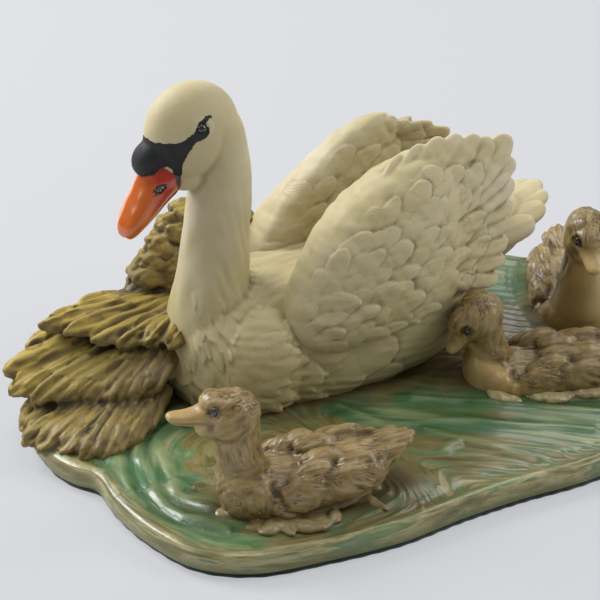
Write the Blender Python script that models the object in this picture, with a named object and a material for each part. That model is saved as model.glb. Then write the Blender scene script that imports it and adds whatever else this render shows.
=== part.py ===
"""Swan with three cygnets on a sheet of water, beside a clump of water plants.

A resin casting with a green felt pad glued under it. The whole scene is cast as
one piece, so its forms are modelled one by one and then united into one solid.
Metres, +Z up, the swan facing -X. The origin is the centre of the underside.
"""

import math

import bmesh
import bpy
from mathutils import Matrix, Vector

# Felt pad and water plate
FELT_THICKNESS = 0.0012
FELT_INSET = 0.0024
GLUE_GAP = 0.0003
PLATE_LENGTH = 0.2150
PLATE_WIDTH = 0.1386
PLATE_THICKNESS = 0.0062
PLATE_UNDERCUT = 0.0014
PLATE_SHOULDER = 0.0020
RIPPLE_HEIGHT = 0.0006
RIPPLE_LENGTH = 0.0170
RIPPLE_ROWS = 7
EDGE_POINTS = 52
RIM_RISE = 0.0007
RIM_WIDTH = 0.0050
WAVE_WIDTH = 0.0060
WAVE_RISE = 0.0017

# Swan, with its body centred on the water at SWAN_X, SWAN_Y
SWAN_X = 0.0000
SWAN_Y = 0.0280
BODY_LENGTH = 0.1250
BODY_WIDTH = 0.0600
BODY_HEIGHT = 0.0400
BODY_FULLNESS = 0.70
NECK_DEPTH = 0.0206
NECK_WIDTH = 0.0176
NECK_HEIGHT = 0.0570
HEAD_LENGTH = 0.0320
HEAD_WIDTH = 0.0215
HEAD_DEPTH = 0.0250
HEAD_FORWARD = 0.0070
HEAD_PITCH = 47.0
EYE_DIAMETER = 0.0036
KNOB_DIAMETER = 0.0105
BILL_LENGTH = 0.0240
BILL_WIDTH = 0.0135
BILL_DEPTH = 0.0120

# Raised wings, each a pillow with feathers laid over it
WING_LENGTH = 0.0840
WING_HEIGHT = 0.0540
WING_THICKNESS = 0.0240
WING_SPREAD = 0.0400
FAR_WING_SHARE = 0.80
FAR_WING_RISE = 0.84
WING_LEAN = 0.20
COVERT_LENGTH = 0.0180
COVERT_WIDTH = 0.0135
COVERT_PITCH = 0.0120
FLIGHT_LENGTH = 0.0305
FLIGHT_WIDTH = 0.0105
FLIGHT_COUNT = 8
FLIGHT_SLOPE = 0.0
FLIGHT_FAN = 15.0
FEATHER_THICKNESS = 0.0034
FEATHER_LIFT = 0.0015
TAIL_LENGTH = 0.0340
TAIL_WIDTH = 0.0110
TAIL_COUNT = 5
TAIL_TAPER = 0.45
TAIL_RISE = 24.0

# Cygnets
CYGNET_LENGTH = 0.0590
CYGNET_WIDTH = 0.0270
CYGNET_HEIGHT = 0.0236
CYGNET_NECK = 0.0125
CYGNET_HEAD = 0.0180
CYGNET_SEAT = 0.0045
CYGNET_BILL = 0.0115

# Clump of water plants. Each underside is cut off one step higher than the last,
# so that no two flat undersides coincide.
LEAF_THICKNESS = 0.0110
LEAF_RIDGE = 0.0016
FOOT_STEP = 0.0001

UNDERSIDE = FELT_THICKNESS + GLUE_GAP
WATER = UNDERSIDE + PLATE_THICKNESS

# Outline of the plate, as shares of its half length and half width, from the
# notch beside the plants round the front, right and back edges.
OUTLINE = (
    (-0.952, -0.010), (-0.965, -0.200), (-0.950, -0.450), (-0.885, -0.740),
    (-0.740, -0.905), (-0.540, -0.955), (-0.330, -0.985), (-0.120, -0.960),
    (0.080, -0.985), (0.290, -1.000), (0.520, -0.965), (0.740, -0.860),
    (0.900, -0.640), (0.975, -0.340), (1.000, 0.040), (0.985, 0.420),
    (0.900, 0.760), (0.720, 0.960), (0.450, 0.995), (0.150, 0.965),
    (-0.150, 0.985), (-0.450, 1.000), (-0.720, 0.950), (-0.900, 0.780),
    (-0.985, 0.520), (-1.000, 0.260), (-0.975, 0.100),
)


def clear_scene():
    for old in list(bpy.data.objects):
        bpy.data.objects.remove(old)


def material(name, colour, roughness):
    made = bpy.data.materials.new(name)
    made.use_nodes = True
    shader = made.node_tree.nodes["Principled BSDF"]
    shader.inputs["Base Color"].default_value = (*colour, 1.0)
    shader.inputs["Roughness"].default_value = roughness
    made.diffuse_color = (*colour, 1.0)
    return made


def collection(name):
    made = bpy.data.collections.new(name)
    bpy.context.scene.collection.children.link(made)
    made.hide_render = True
    return made


def finish(name, shape, paint, group):
    """Turns a bmesh into an object; a form inside a group is only a helper."""
    bmesh.ops.recalc_face_normals(shape, faces=shape.faces)
    bmesh.ops.triangulate(shape, faces=shape.faces)
    mesh = bpy.data.meshes.new(name)
    shape.to_mesh(mesh)
    shape.free()
    mesh.materials.append(paint)
    mesh.shade_smooth()
    made = bpy.data.objects.new(name, mesh)
    group.objects.link(made)
    if group is not bpy.context.scene.collection:
        made.hide_render = True
        made.display_type = "WIRE"
    return made


def skin(rings, start=None, end=None):
    """A closed shape through rings of equally many points, ending in a point or
    a flat face at each end."""
    shape = bmesh.new()
    rows = [[shape.verts.new(point) for point in ring] for ring in rings]
    count = len(rows[0])
    for near, far in zip(rows, rows[1:]):
        for i in range(count):
            j = (i + 1) % count
            shape.faces.new((near[i], near[j], far[j], far[i]))
    for row, tip in ((rows[0], start), (rows[-1], end)):
        if tip is None:
            shape.faces.new(row)
            continue
        pole = shape.verts.new(tip)
        for i in range(count):
            shape.faces.new((row[i], row[(i + 1) % count], pole))
    return shape


def fuller(value, fullness):
    return math.copysign(abs(value) ** fullness, value)


def ellipse(centre, across, up, count, fullness=1.0):
    """Points of an ellipse with half axes across and up. A fullness under 1
    swells it towards the rectangle around it."""
    points = []
    for i in range(count):
        angle = 2 * math.pi * i / count
        side = across * fuller(math.cos(angle), fullness)
        points.append(centre + side + up * fuller(math.sin(angle), fullness))
    return points


def between(table, at):
    """The row of a table of stations at a place between two of them."""
    if at <= table[0][0]:
        return table[0][1:]
    for low, high in zip(table, table[1:]):
        if at <= high[0]:
            share = (at - low[0]) / (high[0] - low[0])
            return [a + (b - a) * share for a, b in zip(low[1:], high[1:])]
    return table[-1][1:]


def ellipsoid(centre, half_sizes, turn=None, segments=14, rings=8):
    """A ball stretched to three half sizes and turned."""
    shape = bmesh.new()
    bmesh.ops.create_uvsphere(shape, u_segments=segments, v_segments=rings, radius=1.0)
    scale = Matrix.Diagonal((*half_sizes, 1.0))
    turn = turn or Matrix.Identity(4)
    bmesh.ops.transform(shape, matrix=Matrix.Translation(centre) @ turn @ scale, verts=shape.verts)
    return shape


# Water plate and felt pad


def outline(count):
    """The plate's edge as a smooth closed curve through its corner points."""
    corners = [
        Vector((x * PLATE_LENGTH / 2, y * PLATE_WIDTH / 2, 0.0)) for x, y in OUTLINE
    ]
    total = len(corners)
    points = []
    for k in range(count):
        place = k * total / count
        i = int(place)
        t = place - i
        p, q, r, s = (corners[(i + d) % total] for d in (-1, 0, 1, 2))
        points.append(
            0.5 * (2 * q + (r - p) * t + (2 * p - 5 * q + 4 * r - s) * t**2 + (3 * q - p - 3 * r + s) * t**3)
        )
    return points


def inset(points, distance, height):
    """The outline moved inwards by a distance, at a height."""
    moved = []
    for i, point in enumerate(points):
        along = (points[(i + 1) % len(points)] - points[i - 1]).normalized()
        inwards = Vector((-along.y, along.x, 0.0))
        moved.append(point + inwards * distance + Vector((0.0, 0.0, height)))
    return moved


def water_height(x, y):
    """Rings that spread from the swan and from the first cygnet."""
    first = CYGNETS[0]
    rings = 0.0
    for cx, cy in ((SWAN_X - BODY_LENGTH / 4, SWAN_Y), (first["x"], first["y"])):
        distance = math.hypot(x - cx, y - cy)
        rings += math.cos(2 * math.pi * distance / RIPPLE_LENGTH) / 2
    return WATER + RIPPLE_HEIGHT * rings


def water_plate(group, paint):
    edge = outline(EDGE_POINTS)
    rings = [
        inset(edge, PLATE_UNDERCUT, UNDERSIDE),
        inset(edge, 0.0, UNDERSIDE + PLATE_UNDERCUT),
        inset(edge, PLATE_SHOULDER / 4, WATER - PLATE_SHOULDER),
        inset(edge, PLATE_SHOULDER, WATER + RIM_RISE),
        inset(edge, RIM_WIDTH, WATER),
    ]
    rim = rings[-1]
    for k in range(1, RIPPLE_ROWS):
        share = 1 - k / RIPPLE_ROWS
        inner = [(p.x * share, p.y * share) for p in rim]
        rings.append([Vector((x, y, water_height(x, y))) for x, y in inner])
    return finish("water_plate", skin(rings, end=(0.0, 0.0, water_height(0.0, 0.0))), paint, group)


def felt_pad(paint):
    edge = outline(EDGE_POINTS)
    rings = [inset(edge, FELT_INSET, height) for height in (0.0, FELT_THICKNESS)]
    return finish("felt_pad", skin(rings), paint, bpy.context.scene.collection)


# Swan

# Stations of the body: share of its length from breast to tail, then half
# width, middle height and half height as shares of the width and height.
BODY = (
    (0.02, 0.17, 0.36, 0.32), (0.06, 0.28, 0.37, 0.43), (0.13, 0.38, 0.38, 0.49),
    (0.25, 0.45, 0.39, 0.54), (0.45, 0.49, 0.41, 0.56), (0.65, 0.47, 0.48, 0.56),
    (0.82, 0.38, 0.59, 0.50), (0.94, 0.22, 0.72, 0.34),
)
# Stations of the neck: share of its height above the breast, place forward of
# its foot, and thickness as a share of the neck's own.
NECK = (
    (-0.16, 0.0010, 1.55), (0.00, 0.0000, 1.32), (0.18, -0.0015, 1.12), (0.38, -0.0030, 1.02),
    (0.58, -0.0045, 1.00), (0.76, -0.0052, 0.98), (0.92, -0.0040, 1.00), (1.04, 0.0005, 1.00),
)
NECK_FOOT_X = -0.0465
NECK_FOOT_Z = 0.0340


def swan_point(x, y, z):
    """A point given from the swan's own centre on the water."""
    return Vector((SWAN_X + x, SWAN_Y + y, WATER + z))


def body_form(share):
    half, middle, rise = between(BODY, share)
    return half * BODY_WIDTH, middle * BODY_HEIGHT, rise * BODY_HEIGHT


def swan_body(group, paint):
    rings = []
    for station in BODY:
        half, middle, rise = body_form(station[0])
        centre = swan_point((station[0] - 0.5) * BODY_LENGTH, 0.0, middle)
        rings.append(ellipse(centre, Vector((0, half, 0)), Vector((0, 0, rise)), 16, BODY_FULLNESS))
    start = swan_point(-0.5 * BODY_LENGTH, 0.0, 0.36 * BODY_HEIGHT)
    end = swan_point(0.5 * BODY_LENGTH, 0.0, 0.80 * BODY_HEIGHT)
    return finish("body", skin(rings, start, end), paint, group)


def neck_line(share):
    """Middle of the neck at a share of its height."""
    forward, _ = between(NECK, share)
    return swan_point(NECK_FOOT_X - forward, 0.0, NECK_FOOT_Z + share * NECK_HEIGHT)


def swan_neck(group, paint):
    rings = []
    for share, _, thick in NECK:
        along = (neck_line(share + 0.03) - neck_line(share - 0.03)).normalized()
        across = along.cross(Vector((0, 1, 0))).normalized()
        rings.append(
            ellipse(
                neck_line(share),
                across * NECK_DEPTH * thick / 2,
                Vector((0, NECK_WIDTH * thick / 2, 0)),
                14,
            )
        )
    return finish("neck", skin(rings), paint, group)


def head_frame():
    """Place of the head, with its X axis along the bill, pitched down."""
    seat = neck_line(1.0) + Vector((-HEAD_FORWARD, 0.0, 0.0))
    return Matrix.Translation(seat) @ Matrix.Rotation(math.pi, 4, "Z") @ Matrix.Rotation(
        math.radians(HEAD_PITCH), 4, "Y"
    )


def swan_head(group, white, black, orange):
    frame = head_frame()
    half = Vector((HEAD_LENGTH / 2, HEAD_WIDTH / 2, HEAD_DEPTH / 2))
    skull = ellipsoid(Vector(), half, segments=14, rings=9)
    bmesh.ops.transform(skull, matrix=frame, verts=skull.verts)
    finish("head", skull, white, group)

    mask = ellipsoid(
        Vector((HEAD_LENGTH * 0.26, 0.0, -HEAD_DEPTH * 0.02)),
        (HEAD_LENGTH * 0.31, HEAD_WIDTH * 0.37, HEAD_DEPTH * 0.36),
        segments=12, rings=8,
    )
    bmesh.ops.transform(mask, matrix=frame, verts=mask.verts)
    finish("face_mask", mask, black, group)
    for side in (-1, 1):
        eye_place = frame @ Vector((HEAD_LENGTH * 0.12, side * HEAD_WIDTH * 0.455, HEAD_DEPTH * 0.14))
        eye = ellipsoid(eye_place, (EYE_DIAMETER / 2,) * 3, segments=8, rings=5)
        finish("eye_left" if side < 0 else "eye_right", eye, black, group)

    knob_place = frame @ Vector((HEAD_LENGTH * 0.42, 0.0, HEAD_DEPTH * 0.26))
    finish("bill_knob", ellipsoid(knob_place, (KNOB_DIAMETER / 2,) * 3, segments=10, rings=6), black, group)

    # Stations of the bill from inside the face to its tip.
    stations = (
        (0.00, 1.00, 1.00, 0.00), (0.35, 0.92, 0.78, 0.02), (0.70, 0.80, 0.50, 0.02),
        (0.92, 0.72, 0.34, -0.04),
    )
    rings = []
    root = HEAD_LENGTH * 0.38
    for share, wide, deep, rise in stations:
        centre = frame @ Vector((root + share * BILL_LENGTH, 0.0, -0.05 * HEAD_DEPTH + rise * BILL_DEPTH))
        up = frame.to_3x3() @ Vector((0, 0, BILL_DEPTH * deep / 2))
        rings.append(ellipse(centre, Vector((0, BILL_WIDTH * wide / 2, 0)), up, 12))
    tip = frame @ Vector((root + BILL_LENGTH, 0.0, -0.05 * HEAD_DEPTH - 0.06 * BILL_DEPTH))
    finish("bill", skin(rings, end=tip), orange, group)


# Stations of a wing: share of its length from the shoulder to the tip, middle
# height and half height as shares of its height, half thickness as a share.
WING = (
    (0.02, 0.32, 0.16, 0.22), (0.08, 0.34, 0.28, 0.36), (0.20, 0.41, 0.42, 0.46),
    (0.36, 0.47, 0.51, 0.50), (0.54, 0.51, 0.55, 0.50), (0.72, 0.54, 0.52, 0.42),
    (0.86, 0.58, 0.44, 0.28), (0.96, 0.60, 0.32, 0.14),
)
WING_FOOT_X = -0.0300
WING_FOOT_Z = 0.0190


def wing_form(side, share):
    """Middle height, half height and half thickness of a wing at a station."""
    middle, rise, thick = between(WING, share)
    height = WING_HEIGHT * (FAR_WING_RISE if side > 0 else 1.0)
    return WING_FOOT_Z + middle * height, rise * height, thick * WING_THICKNESS


def wing_length(side):
    return WING_LENGTH * (FAR_WING_SHARE if side > 0 else 1.0)


def wing_core(side, group, paint):
    rings = []
    for station in WING:
        middle, rise, thick = wing_form(side, station[0])
        centre = swan_point(WING_FOOT_X + station[0] * wing_length(side), side * WING_SPREAD / 2, middle)
        up = Vector((0, -side * WING_LEAN * rise, rise))
        rings.append(ellipse(centre, Vector((0, side * thick, 0)), up, 16))
    ends = []
    for share in (0.0, 1.0):
        level = wing_form(side, share)[0]
        ends.append(swan_point(WING_FOOT_X + share * wing_length(side), side * WING_SPREAD / 2, level))
    name = "wing_left" if side < 0 else "wing_right"
    return finish(name, skin(rings, *ends), paint, group)


def on_wing(side, share, level):
    """Point on the outer face of a wing, at a level from -1 (low) to 1 (top)."""
    middle, rise, thick = wing_form(side, min(max(share, 0.0), 1.0))
    out = WING_SPREAD / 2 - WING_LEAN * rise * level + thick * math.sqrt(max(0.0, 1 - level**2))
    return swan_point(WING_FOOT_X + share * wing_length(side), side * out, middle + level * rise)


def on_body(side, share, level):
    """Point on the flank of the body, at a level from -1 (low) to 1 (top)."""
    half, middle, rise = body_form(share)
    bulge = max(0.0, 1 - abs(level) ** (2 / BODY_FULLNESS)) ** (BODY_FULLNESS / 2)
    return swan_point((share - 0.5) * BODY_LENGTH, side * half * bulge, middle + level * rise)


def feather(name, root, tip, outwards, width, group, paint, thickness=None):
    """One blade, crowned along its shaft and rounded at its tip. It lies from
    its root to its tip with its face turned outwards, and its underside is
    sunk in what carries it."""
    along = tip - root
    length = along.length
    along = along.normalized()
    across = outwards.cross(along).normalized()
    up = along.cross(across)
    thickness = thickness or FEATHER_THICKNESS
    half = width / 2
    profile = ((0.0, 0.55), (0.30, 0.86), (0.60, 1.0), (0.84, 0.80), (0.96, 0.42))
    edge = [(share, half * wide) for share, wide in profile]
    edge += [(share, -half * wide) for share, wide in reversed(profile)]
    top = [root + along * (share * length) + across * off for share, off in edge]
    shape = bmesh.new()
    upper = [shape.verts.new(point) for point in top]
    lower = [shape.verts.new(point - up * thickness) for point in top]
    crown = 0.16 * half
    shaft = [shape.verts.new(root + along * (share * length) + up * crown) for share in (0.05, 0.5, 0.85)]
    count = len(top)
    for i in range(count):
        j = (i + 1) % count
        shape.faces.new((lower[i], lower[j], upper[j], upper[i]))
    shape.faces.new(lower)
    joins = (0, 0, 1, 1, 2, 2, 1, 1, 0, 0)
    for i in range(count):
        j = (i + 1) % count
        a, b = joins[i], joins[j]
        shape.faces.new((upper[i], upper[j], shaft[b]))
        if a != b:
            shape.faces.new((upper[i], shaft[b], shaft[a]))
    return finish(name, shape, paint, group)


def lay_feather(name, surface, side, share, level, run, drop, width, group, paint):
    """Lays a feather on a surface from one place on it towards another."""
    root = surface(side, share, level)
    far = surface(side, min(share + run, 1.0), max(-0.97, min(0.97, level + drop)))
    beside = surface(side, share, level + 0.04) - surface(side, share, level - 0.04)
    length = run * (WING_LENGTH if surface is on_wing else BODY_LENGTH)
    outwards = (far - root).cross(beside) * -side
    outwards.normalize()
    tip = root + (far - root).normalized() * length
    root = root - outwards * FEATHER_LIFT * 0.6
    feather(name, root, tip + outwards * FEATHER_LIFT, outwards, width, group, paint)


def wing_feathers(side, group, paint):
    """Rows of coverts from the shoulder back, then the long flight feathers."""
    rows = int(0.56 * WING_LENGTH / COVERT_PITCH)
    run = COVERT_LENGTH / WING_LENGTH
    for row in range(rows):
        share = 0.04 + row * COVERT_PITCH / WING_LENGTH
        count = max(2, round(2 * wing_form(side, share)[1] / COVERT_WIDTH * 1.15))
        for k in range(count):
            level = -0.86 + 1.72 * (k + 0.5 * (row % 2)) / (count - 0.5)
            lay_feather("covert", on_wing, side, share, level, run, -0.05, COVERT_WIDTH, group, paint)
    for share, length, count, low, high in (
        (0.50, FLIGHT_LENGTH * 0.74, FLIGHT_COUNT - 1, -0.80, 0.84),
        (0.66, FLIGHT_LENGTH, FLIGHT_COUNT, -0.84, 0.66),
    ):
        for k in range(count):
            level = low + (high - low) * k / (count - 1)
            flight_feather(side, share, level, length, group, paint)


def flight_feather(side, share, level, length, group, paint):
    """A long blade that fans out past the tip of the wing."""
    slope = math.radians(FLIGHT_SLOPE + FLIGHT_FAN * level)
    root = on_wing(side, share, level)
    inwards = Vector((0, -side * 0.10, 0))
    along = (Vector((math.cos(slope), 0, math.sin(slope))) + inwards).normalized()
    outwards = Vector((0.05, side, 0.10 + 0.25 * level)).normalized()
    root -= outwards * FEATHER_LIFT * 0.5
    tip = root + along * length + outwards * FEATHER_LIFT * 0.6
    feather("flight", root, tip, outwards, FLIGHT_WIDTH, group, paint)


def flank_feathers(side, group, paint):
    rows = ((0.02, (0.16, 0.27, 0.38, 0.49, 0.60, 0.71)), (-0.34, (0.22, 0.33, 0.44, 0.55, 0.66)))
    for level, shares in rows:
        for share in shares:
            lay_feather("flank", on_body, side, share, level, 0.15, 0.02, COVERT_WIDTH * 1.25, group, paint)


def tail_feathers(group, paint):
    """A raised fan behind the body."""
    rise = math.radians(TAIL_RISE)
    root = swan_point(BODY_LENGTH * 0.40, 0.0, BODY_HEIGHT * 0.72)
    for k in range(TAIL_COUNT):
        spread = math.radians(-22 + 44 * k / (TAIL_COUNT - 1))
        along = Vector((math.cos(rise) * math.cos(spread), math.sin(spread), math.sin(rise)))
        place = root + Vector((0, spread * 0.012, -abs(spread) * 0.004))
        length = TAIL_LENGTH * (1 - TAIL_TAPER * abs(spread))
        feather(
            "tail", place, place + along * length, Vector((-math.sin(rise), 0, math.cos(rise))),
            TAIL_WIDTH, group, paint,
        )


# Cygnets

# Stations of a cygnet's body: share of its length, half width, middle height
# and half height, as shares of its width and height above the water.
CHICK = (
    (0.03, 0.20, 0.40, 0.30), (0.12, 0.38, 0.40, 0.44), (0.30, 0.48, 0.43, 0.50),
    (0.50, 0.51, 0.45, 0.53), (0.68, 0.44, 0.48, 0.47), (0.84, 0.27, 0.60, 0.32),
    (0.94, 0.13, 0.70, 0.15),
)
# Where each cygnet's breast is, which way its tail points, how high its head
# is carried, and how far its head turns and nods.
CYGNETS = (
    {
        "name": "front", "x": -0.0776, "y": -0.0340, "heading": -14.7, "sink": 0.0, "neck": 0.0300,
        "turn": 0.0, "nod": 0.0,
    },
    {
        "name": "middle", "x": 0.0265, "y": -0.0065, "heading": -26.0, "sink": 0.0065, "neck": 0.0265,
        "turn": 20.0, "nod": 48.0,
    },
    {
        "name": "rear", "x": 0.0770, "y": -0.0030, "heading": 62.0, "sink": 0.0065, "neck": 0.0390,
        "turn": 10.0, "nod": 12.0,
    },
)


def cygnet(bird, group, down, horn):
    place = Matrix.Translation((bird["x"], bird["y"], WATER - bird["sink"])) @ Matrix.Rotation(
        math.radians(bird["heading"]), 4, "Z"
    )

    def put(shape, name, paint):
        bmesh.ops.transform(shape, matrix=place, verts=shape.verts)
        lowest = WATER - CYGNET_SEAT + FOOT_STEP * (len(group.objects) % 20)
        for vert in shape.verts:
            vert.co.z = max(vert.co.z, lowest)
        finish(bird["name"] + "_cygnet_" + name, shape, paint, group)

    rings = []
    for share, wide, middle, rise in CHICK:
        centre = Vector((share * CYGNET_LENGTH, 0.0, middle * CYGNET_HEIGHT))
        rings.append(
            ellipse(centre, Vector((0, wide * CYGNET_WIDTH, 0)), Vector((0, 0, rise * CYGNET_HEIGHT)), 12)
        )
    start = Vector((0.0, 0.0, 0.40 * CYGNET_HEIGHT))
    end = Vector((CYGNET_LENGTH, 0.0, 0.78 * CYGNET_HEIGHT))
    put(skin(rings, start, end), "body", down)

    foot = Vector((CYGNET_LENGTH * 0.16, 0.0, CYGNET_HEIGHT * 0.45))
    top = Vector((CYGNET_LENGTH * 0.10, 0.0, bird["neck"]))
    rings = []
    for share, thick in ((0.0, 1.35), (0.35, 1.12), (0.70, 0.98), (1.0, 0.95)):
        centre = foot.lerp(top, share)
        radius = CYGNET_NECK * thick / 2
        rings.append(ellipse(centre, Vector((radius, 0, 0)), Vector((0, radius, 0)), 10))
    put(skin(rings), "neck", down)

    head = (
        Matrix.Translation(top + Vector((0.0, 0.0, CYGNET_HEAD * 0.20)))
        @ Matrix.Rotation(math.pi + math.radians(bird["turn"]), 4, "Z")
        @ Matrix.Rotation(math.radians(bird["nod"]), 4, "Y")
    )
    skull = ellipsoid(
        Vector((CYGNET_HEAD * 0.10, 0, 0)), (CYGNET_HEAD * 0.52, CYGNET_HEAD * 0.42, CYGNET_HEAD * 0.42),
        segments=12, rings=7,
    )
    bmesh.ops.transform(skull, matrix=head, verts=skull.verts)
    put(skull, "head", down)

    rings = []
    for share, wide, deep in ((0.0, 0.52, 0.42), (0.5, 0.40, 0.28), (0.9, 0.32, 0.16)):
        centre = head @ Vector((CYGNET_HEAD * 0.48 + share * CYGNET_BILL, 0.0, -CYGNET_HEAD * 0.08))
        turned = head.to_3x3()
        rings.append(
            ellipse(
                centre,
                turned @ Vector((0, wide * CYGNET_BILL / 2 * 1.3, 0)),
                turned @ Vector((0, 0, deep * CYGNET_BILL / 2 * 1.5)),
                8,
            )
        )
    tip = head @ Vector((CYGNET_HEAD * 0.48 + CYGNET_BILL, 0.0, -CYGNET_HEAD * 0.10))
    put(skin(rings, end=tip), "bill", horn)

    for side in (-1, 1):
        centre = Vector((CYGNET_LENGTH * 0.52, side * CYGNET_WIDTH * 0.40, CYGNET_HEIGHT * 0.54))
        half = (CYGNET_LENGTH * 0.30, CYGNET_WIDTH * 0.17, CYGNET_HEIGHT * 0.33)
        turn = Matrix.Rotation(math.radians(-6), 4, "Y") @ Matrix.Rotation(math.radians(side * 5), 4, "Z")
        put(ellipsoid(centre, half, turn, segments=10, rings=6), "wing", down)
        centre = Vector((CYGNET_LENGTH * 0.44, side * CYGNET_WIDTH * 0.27, CYGNET_HEIGHT * 0.86))
        half = (CYGNET_LENGTH * 0.20, CYGNET_WIDTH * 0.19, CYGNET_HEIGHT * 0.20)
        put(ellipsoid(centre, half, turn, segments=10, rings=6), "shoulder", down)


# Water plants: each leaf runs from its root to its tip, as places above the
# water, with its width and the number of ridges along it.
LEAVES = (
    ((-0.066, 0.030, 0.016), (-0.1130, 0.026, 0.008), 0.044, 5),
    ((-0.070, 0.024, 0.010), (-0.0990, 0.010, 0.004), 0.030, 4),
    ((-0.064, 0.040, 0.018), (-0.1130, 0.036, 0.012), 0.036, 4),
    ((-0.050, 0.044, 0.027), (-0.0985, 0.043, 0.027), 0.028, 4),
    ((-0.060, 0.034, 0.020), (-0.0830, 0.013, 0.014), 0.026, 3),
    ((-0.034, 0.052, 0.040), (-0.0640, 0.044, 0.032), 0.024, 3),
    ((-0.030, 0.058, 0.036), (-0.0470, 0.054, 0.048), 0.022, 3),
    ((-0.030, 0.056, 0.028), (-0.0600, 0.055, 0.020), 0.024, 4),
    ((-0.060, 0.046, 0.014), (-0.0980, 0.052, 0.012), 0.030, 4),
    ((-0.050, 0.052, 0.014), (-0.0560, 0.0640, 0.008), 0.034, 4),
    ((-0.034, 0.054, 0.022), (-0.0060, 0.0560, 0.030), 0.022, 3),
    ((-0.030, 0.054, 0.012), (-0.0040, 0.0570, 0.010), 0.024, 4),
)
# Heart of the clump: place, above the water, and half sizes.
CLUMP = (
    ((-0.086, 0.032, 0.006), (0.021, 0.019, 0.016)),
    ((-0.064, 0.042, 0.008), (0.022, 0.019, 0.024)),
    ((-0.044, 0.052, 0.016), (0.018, 0.013, 0.030)),
    ((-0.020, 0.055, 0.010), (0.020, 0.009, 0.022)),
)


def leaf(index, root, tip, width, ridges, group, paint):
    """A thick leaf, crowned and ridged along its length, with a drooping tip."""
    lift = Vector((0.0, 0.0, WATER))
    root = Vector(root) + lift
    along = Vector(tip) + lift - root
    flat = Vector((-along.y, along.x, 0.0)).normalized()
    up = along.cross(flat).normalized()
    if up.z < 0:
        up.negate()
    half = width / 2
    rows = 2 * ridges + 1
    steps = 6
    rings = []
    for k in range(steps):
        share = 0.02 + 0.95 * k / (steps - 1)
        wide = half * math.sin(math.pi * (0.16 + 0.80 * share)) ** 0.6
        middle = root + along * share - up * (0.25 * along.length * share**3)
        ring = []
        for i in range(rows):
            across = -1 + 2 * i / (rows - 1)
            ridge = LEAF_RIDGE * (1 if i % 2 else -1)
            crown = LEAF_THICKNESS * 0.5 * (1 - across**2)
            ring.append(middle + flat * (wide * across) + up * (crown + ridge))
        for across in (0.55, 0.0, -0.55):
            ring.append(middle + flat * (wide * across) - up * LEAF_THICKNESS * 0.6)
        for point in ring:
            point.z = max(point.z, UNDERSIDE + FOOT_STEP * (index + 5))
        rings.append(ring)
    return finish(f"leaf_{index}", skin(rings), paint, group)


def plants(group, paint):
    for index, (root, tip, width, ridges) in enumerate(LEAVES):
        leaf(index, root, tip, width, ridges, group, paint)
    for index, (place, half) in enumerate(CLUMP):
        shape = ellipsoid(Vector(place) + Vector((0.0, 0.0, WATER)), half, segments=10, rings=6)
        for vert in shape.verts:
            vert.co.z = max(vert.co.z, UNDERSIDE + FOOT_STEP * (index + 20))
        finish("clump", shape, paint, group)


# Petals of water under the first cygnet: place on the water, direction and length.
WAVES = (
    (-0.0560, -0.0500, 200.0, 0.0150), (-0.0500, -0.0520, 245.0, 0.0150),
    (-0.0400, -0.0530, 290.0, 0.0170), (-0.0300, -0.0510, 325.0, 0.0160),
)


def waves(group, paint):
    for x, y, heading, length in WAVES:
        turn = Matrix.Rotation(math.radians(heading), 4, "Z")
        centre = Vector((x, y, WATER)) + turn @ Vector((length * 0.25, 0.0, 0.0))
        half = (length / 2, WAVE_WIDTH / 2, WAVE_RISE)
        finish("wave", ellipsoid(centre, half, turn, segments=10, rings=6), paint, group)


# Whole casting


def keep_outer_skin(piece):
    """Fills the air pockets that the united forms close in: of the separate
    skins of the mesh, only the one with the largest extent stays."""
    shape = bmesh.new()
    shape.from_mesh(piece.data)
    left = set(shape.verts)
    skins = []
    while left:
        found = {left.pop()}
        edge = list(found)
        while edge:
            for link in edge.pop().link_edges:
                for vert in link.verts:
                    if vert in left:
                        left.remove(vert)
                        found.add(vert)
                        edge.append(vert)
        skins.append(found)
    outer = max(skins, key=len)
    bmesh.ops.delete(shape, geom=[v for found in skins if found is not outer for v in found])
    shape.to_mesh(piece.data)
    shape.free()


def unite(base, group):
    """Joins every form of a group to the base as one solid."""
    join = base.modifiers.new("Unite", "BOOLEAN")
    join.operation = "UNION"
    join.operand_type = "COLLECTION"
    join.collection = group
    join.solver = "EXACT"
    join.material_mode = "TRANSFER"
    graph = bpy.context.evaluated_depsgraph_get()
    mesh = bpy.data.meshes.new_from_object(base.evaluated_get(graph))
    base.modifiers.remove(join)
    base.data = mesh
    keep_outer_skin(base)


def main():
    clear_scene()
    white = material("swan_white", (0.72, 0.68, 0.52), 0.55)
    black = material("bill_black", (0.010, 0.014, 0.016), 0.50)
    orange = material("bill_orange", (0.75, 0.10, 0.02), 0.25)
    down = material("cygnet_brown", (0.36, 0.24, 0.11), 0.45)
    horn = material("cygnet_bill", (0.50, 0.33, 0.15), 0.40)
    plant = material("plant_ochre", (0.34, 0.26, 0.08), 0.60)
    water = material("water_green", (0.16, 0.34, 0.18), 0.25)
    green_felt = material("felt_green", (0.01, 0.05, 0.03), 0.95)

    felt_pad(green_felt)
    forms = collection("cast_forms")
    swan_body(forms, white)
    swan_neck(forms, white)
    swan_head(forms, white, black, orange)
    for side in (-1, 1):
        wing_core(side, forms, white)
        wing_feathers(side, forms, white)
        flank_feathers(side, forms, white)
    tail_feathers(forms, white)
    for bird in CYGNETS:
        cygnet(bird, forms, down, horn)
    waves(forms, water)
    plants(forms, plant)
    casting = water_plate(bpy.context.scene.collection, water)
    casting.name = "swan_casting"
    unite(casting, forms)


main()
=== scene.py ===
import math

import bpy
import numpy as np
from mathutils import Matrix, Vector


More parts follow.
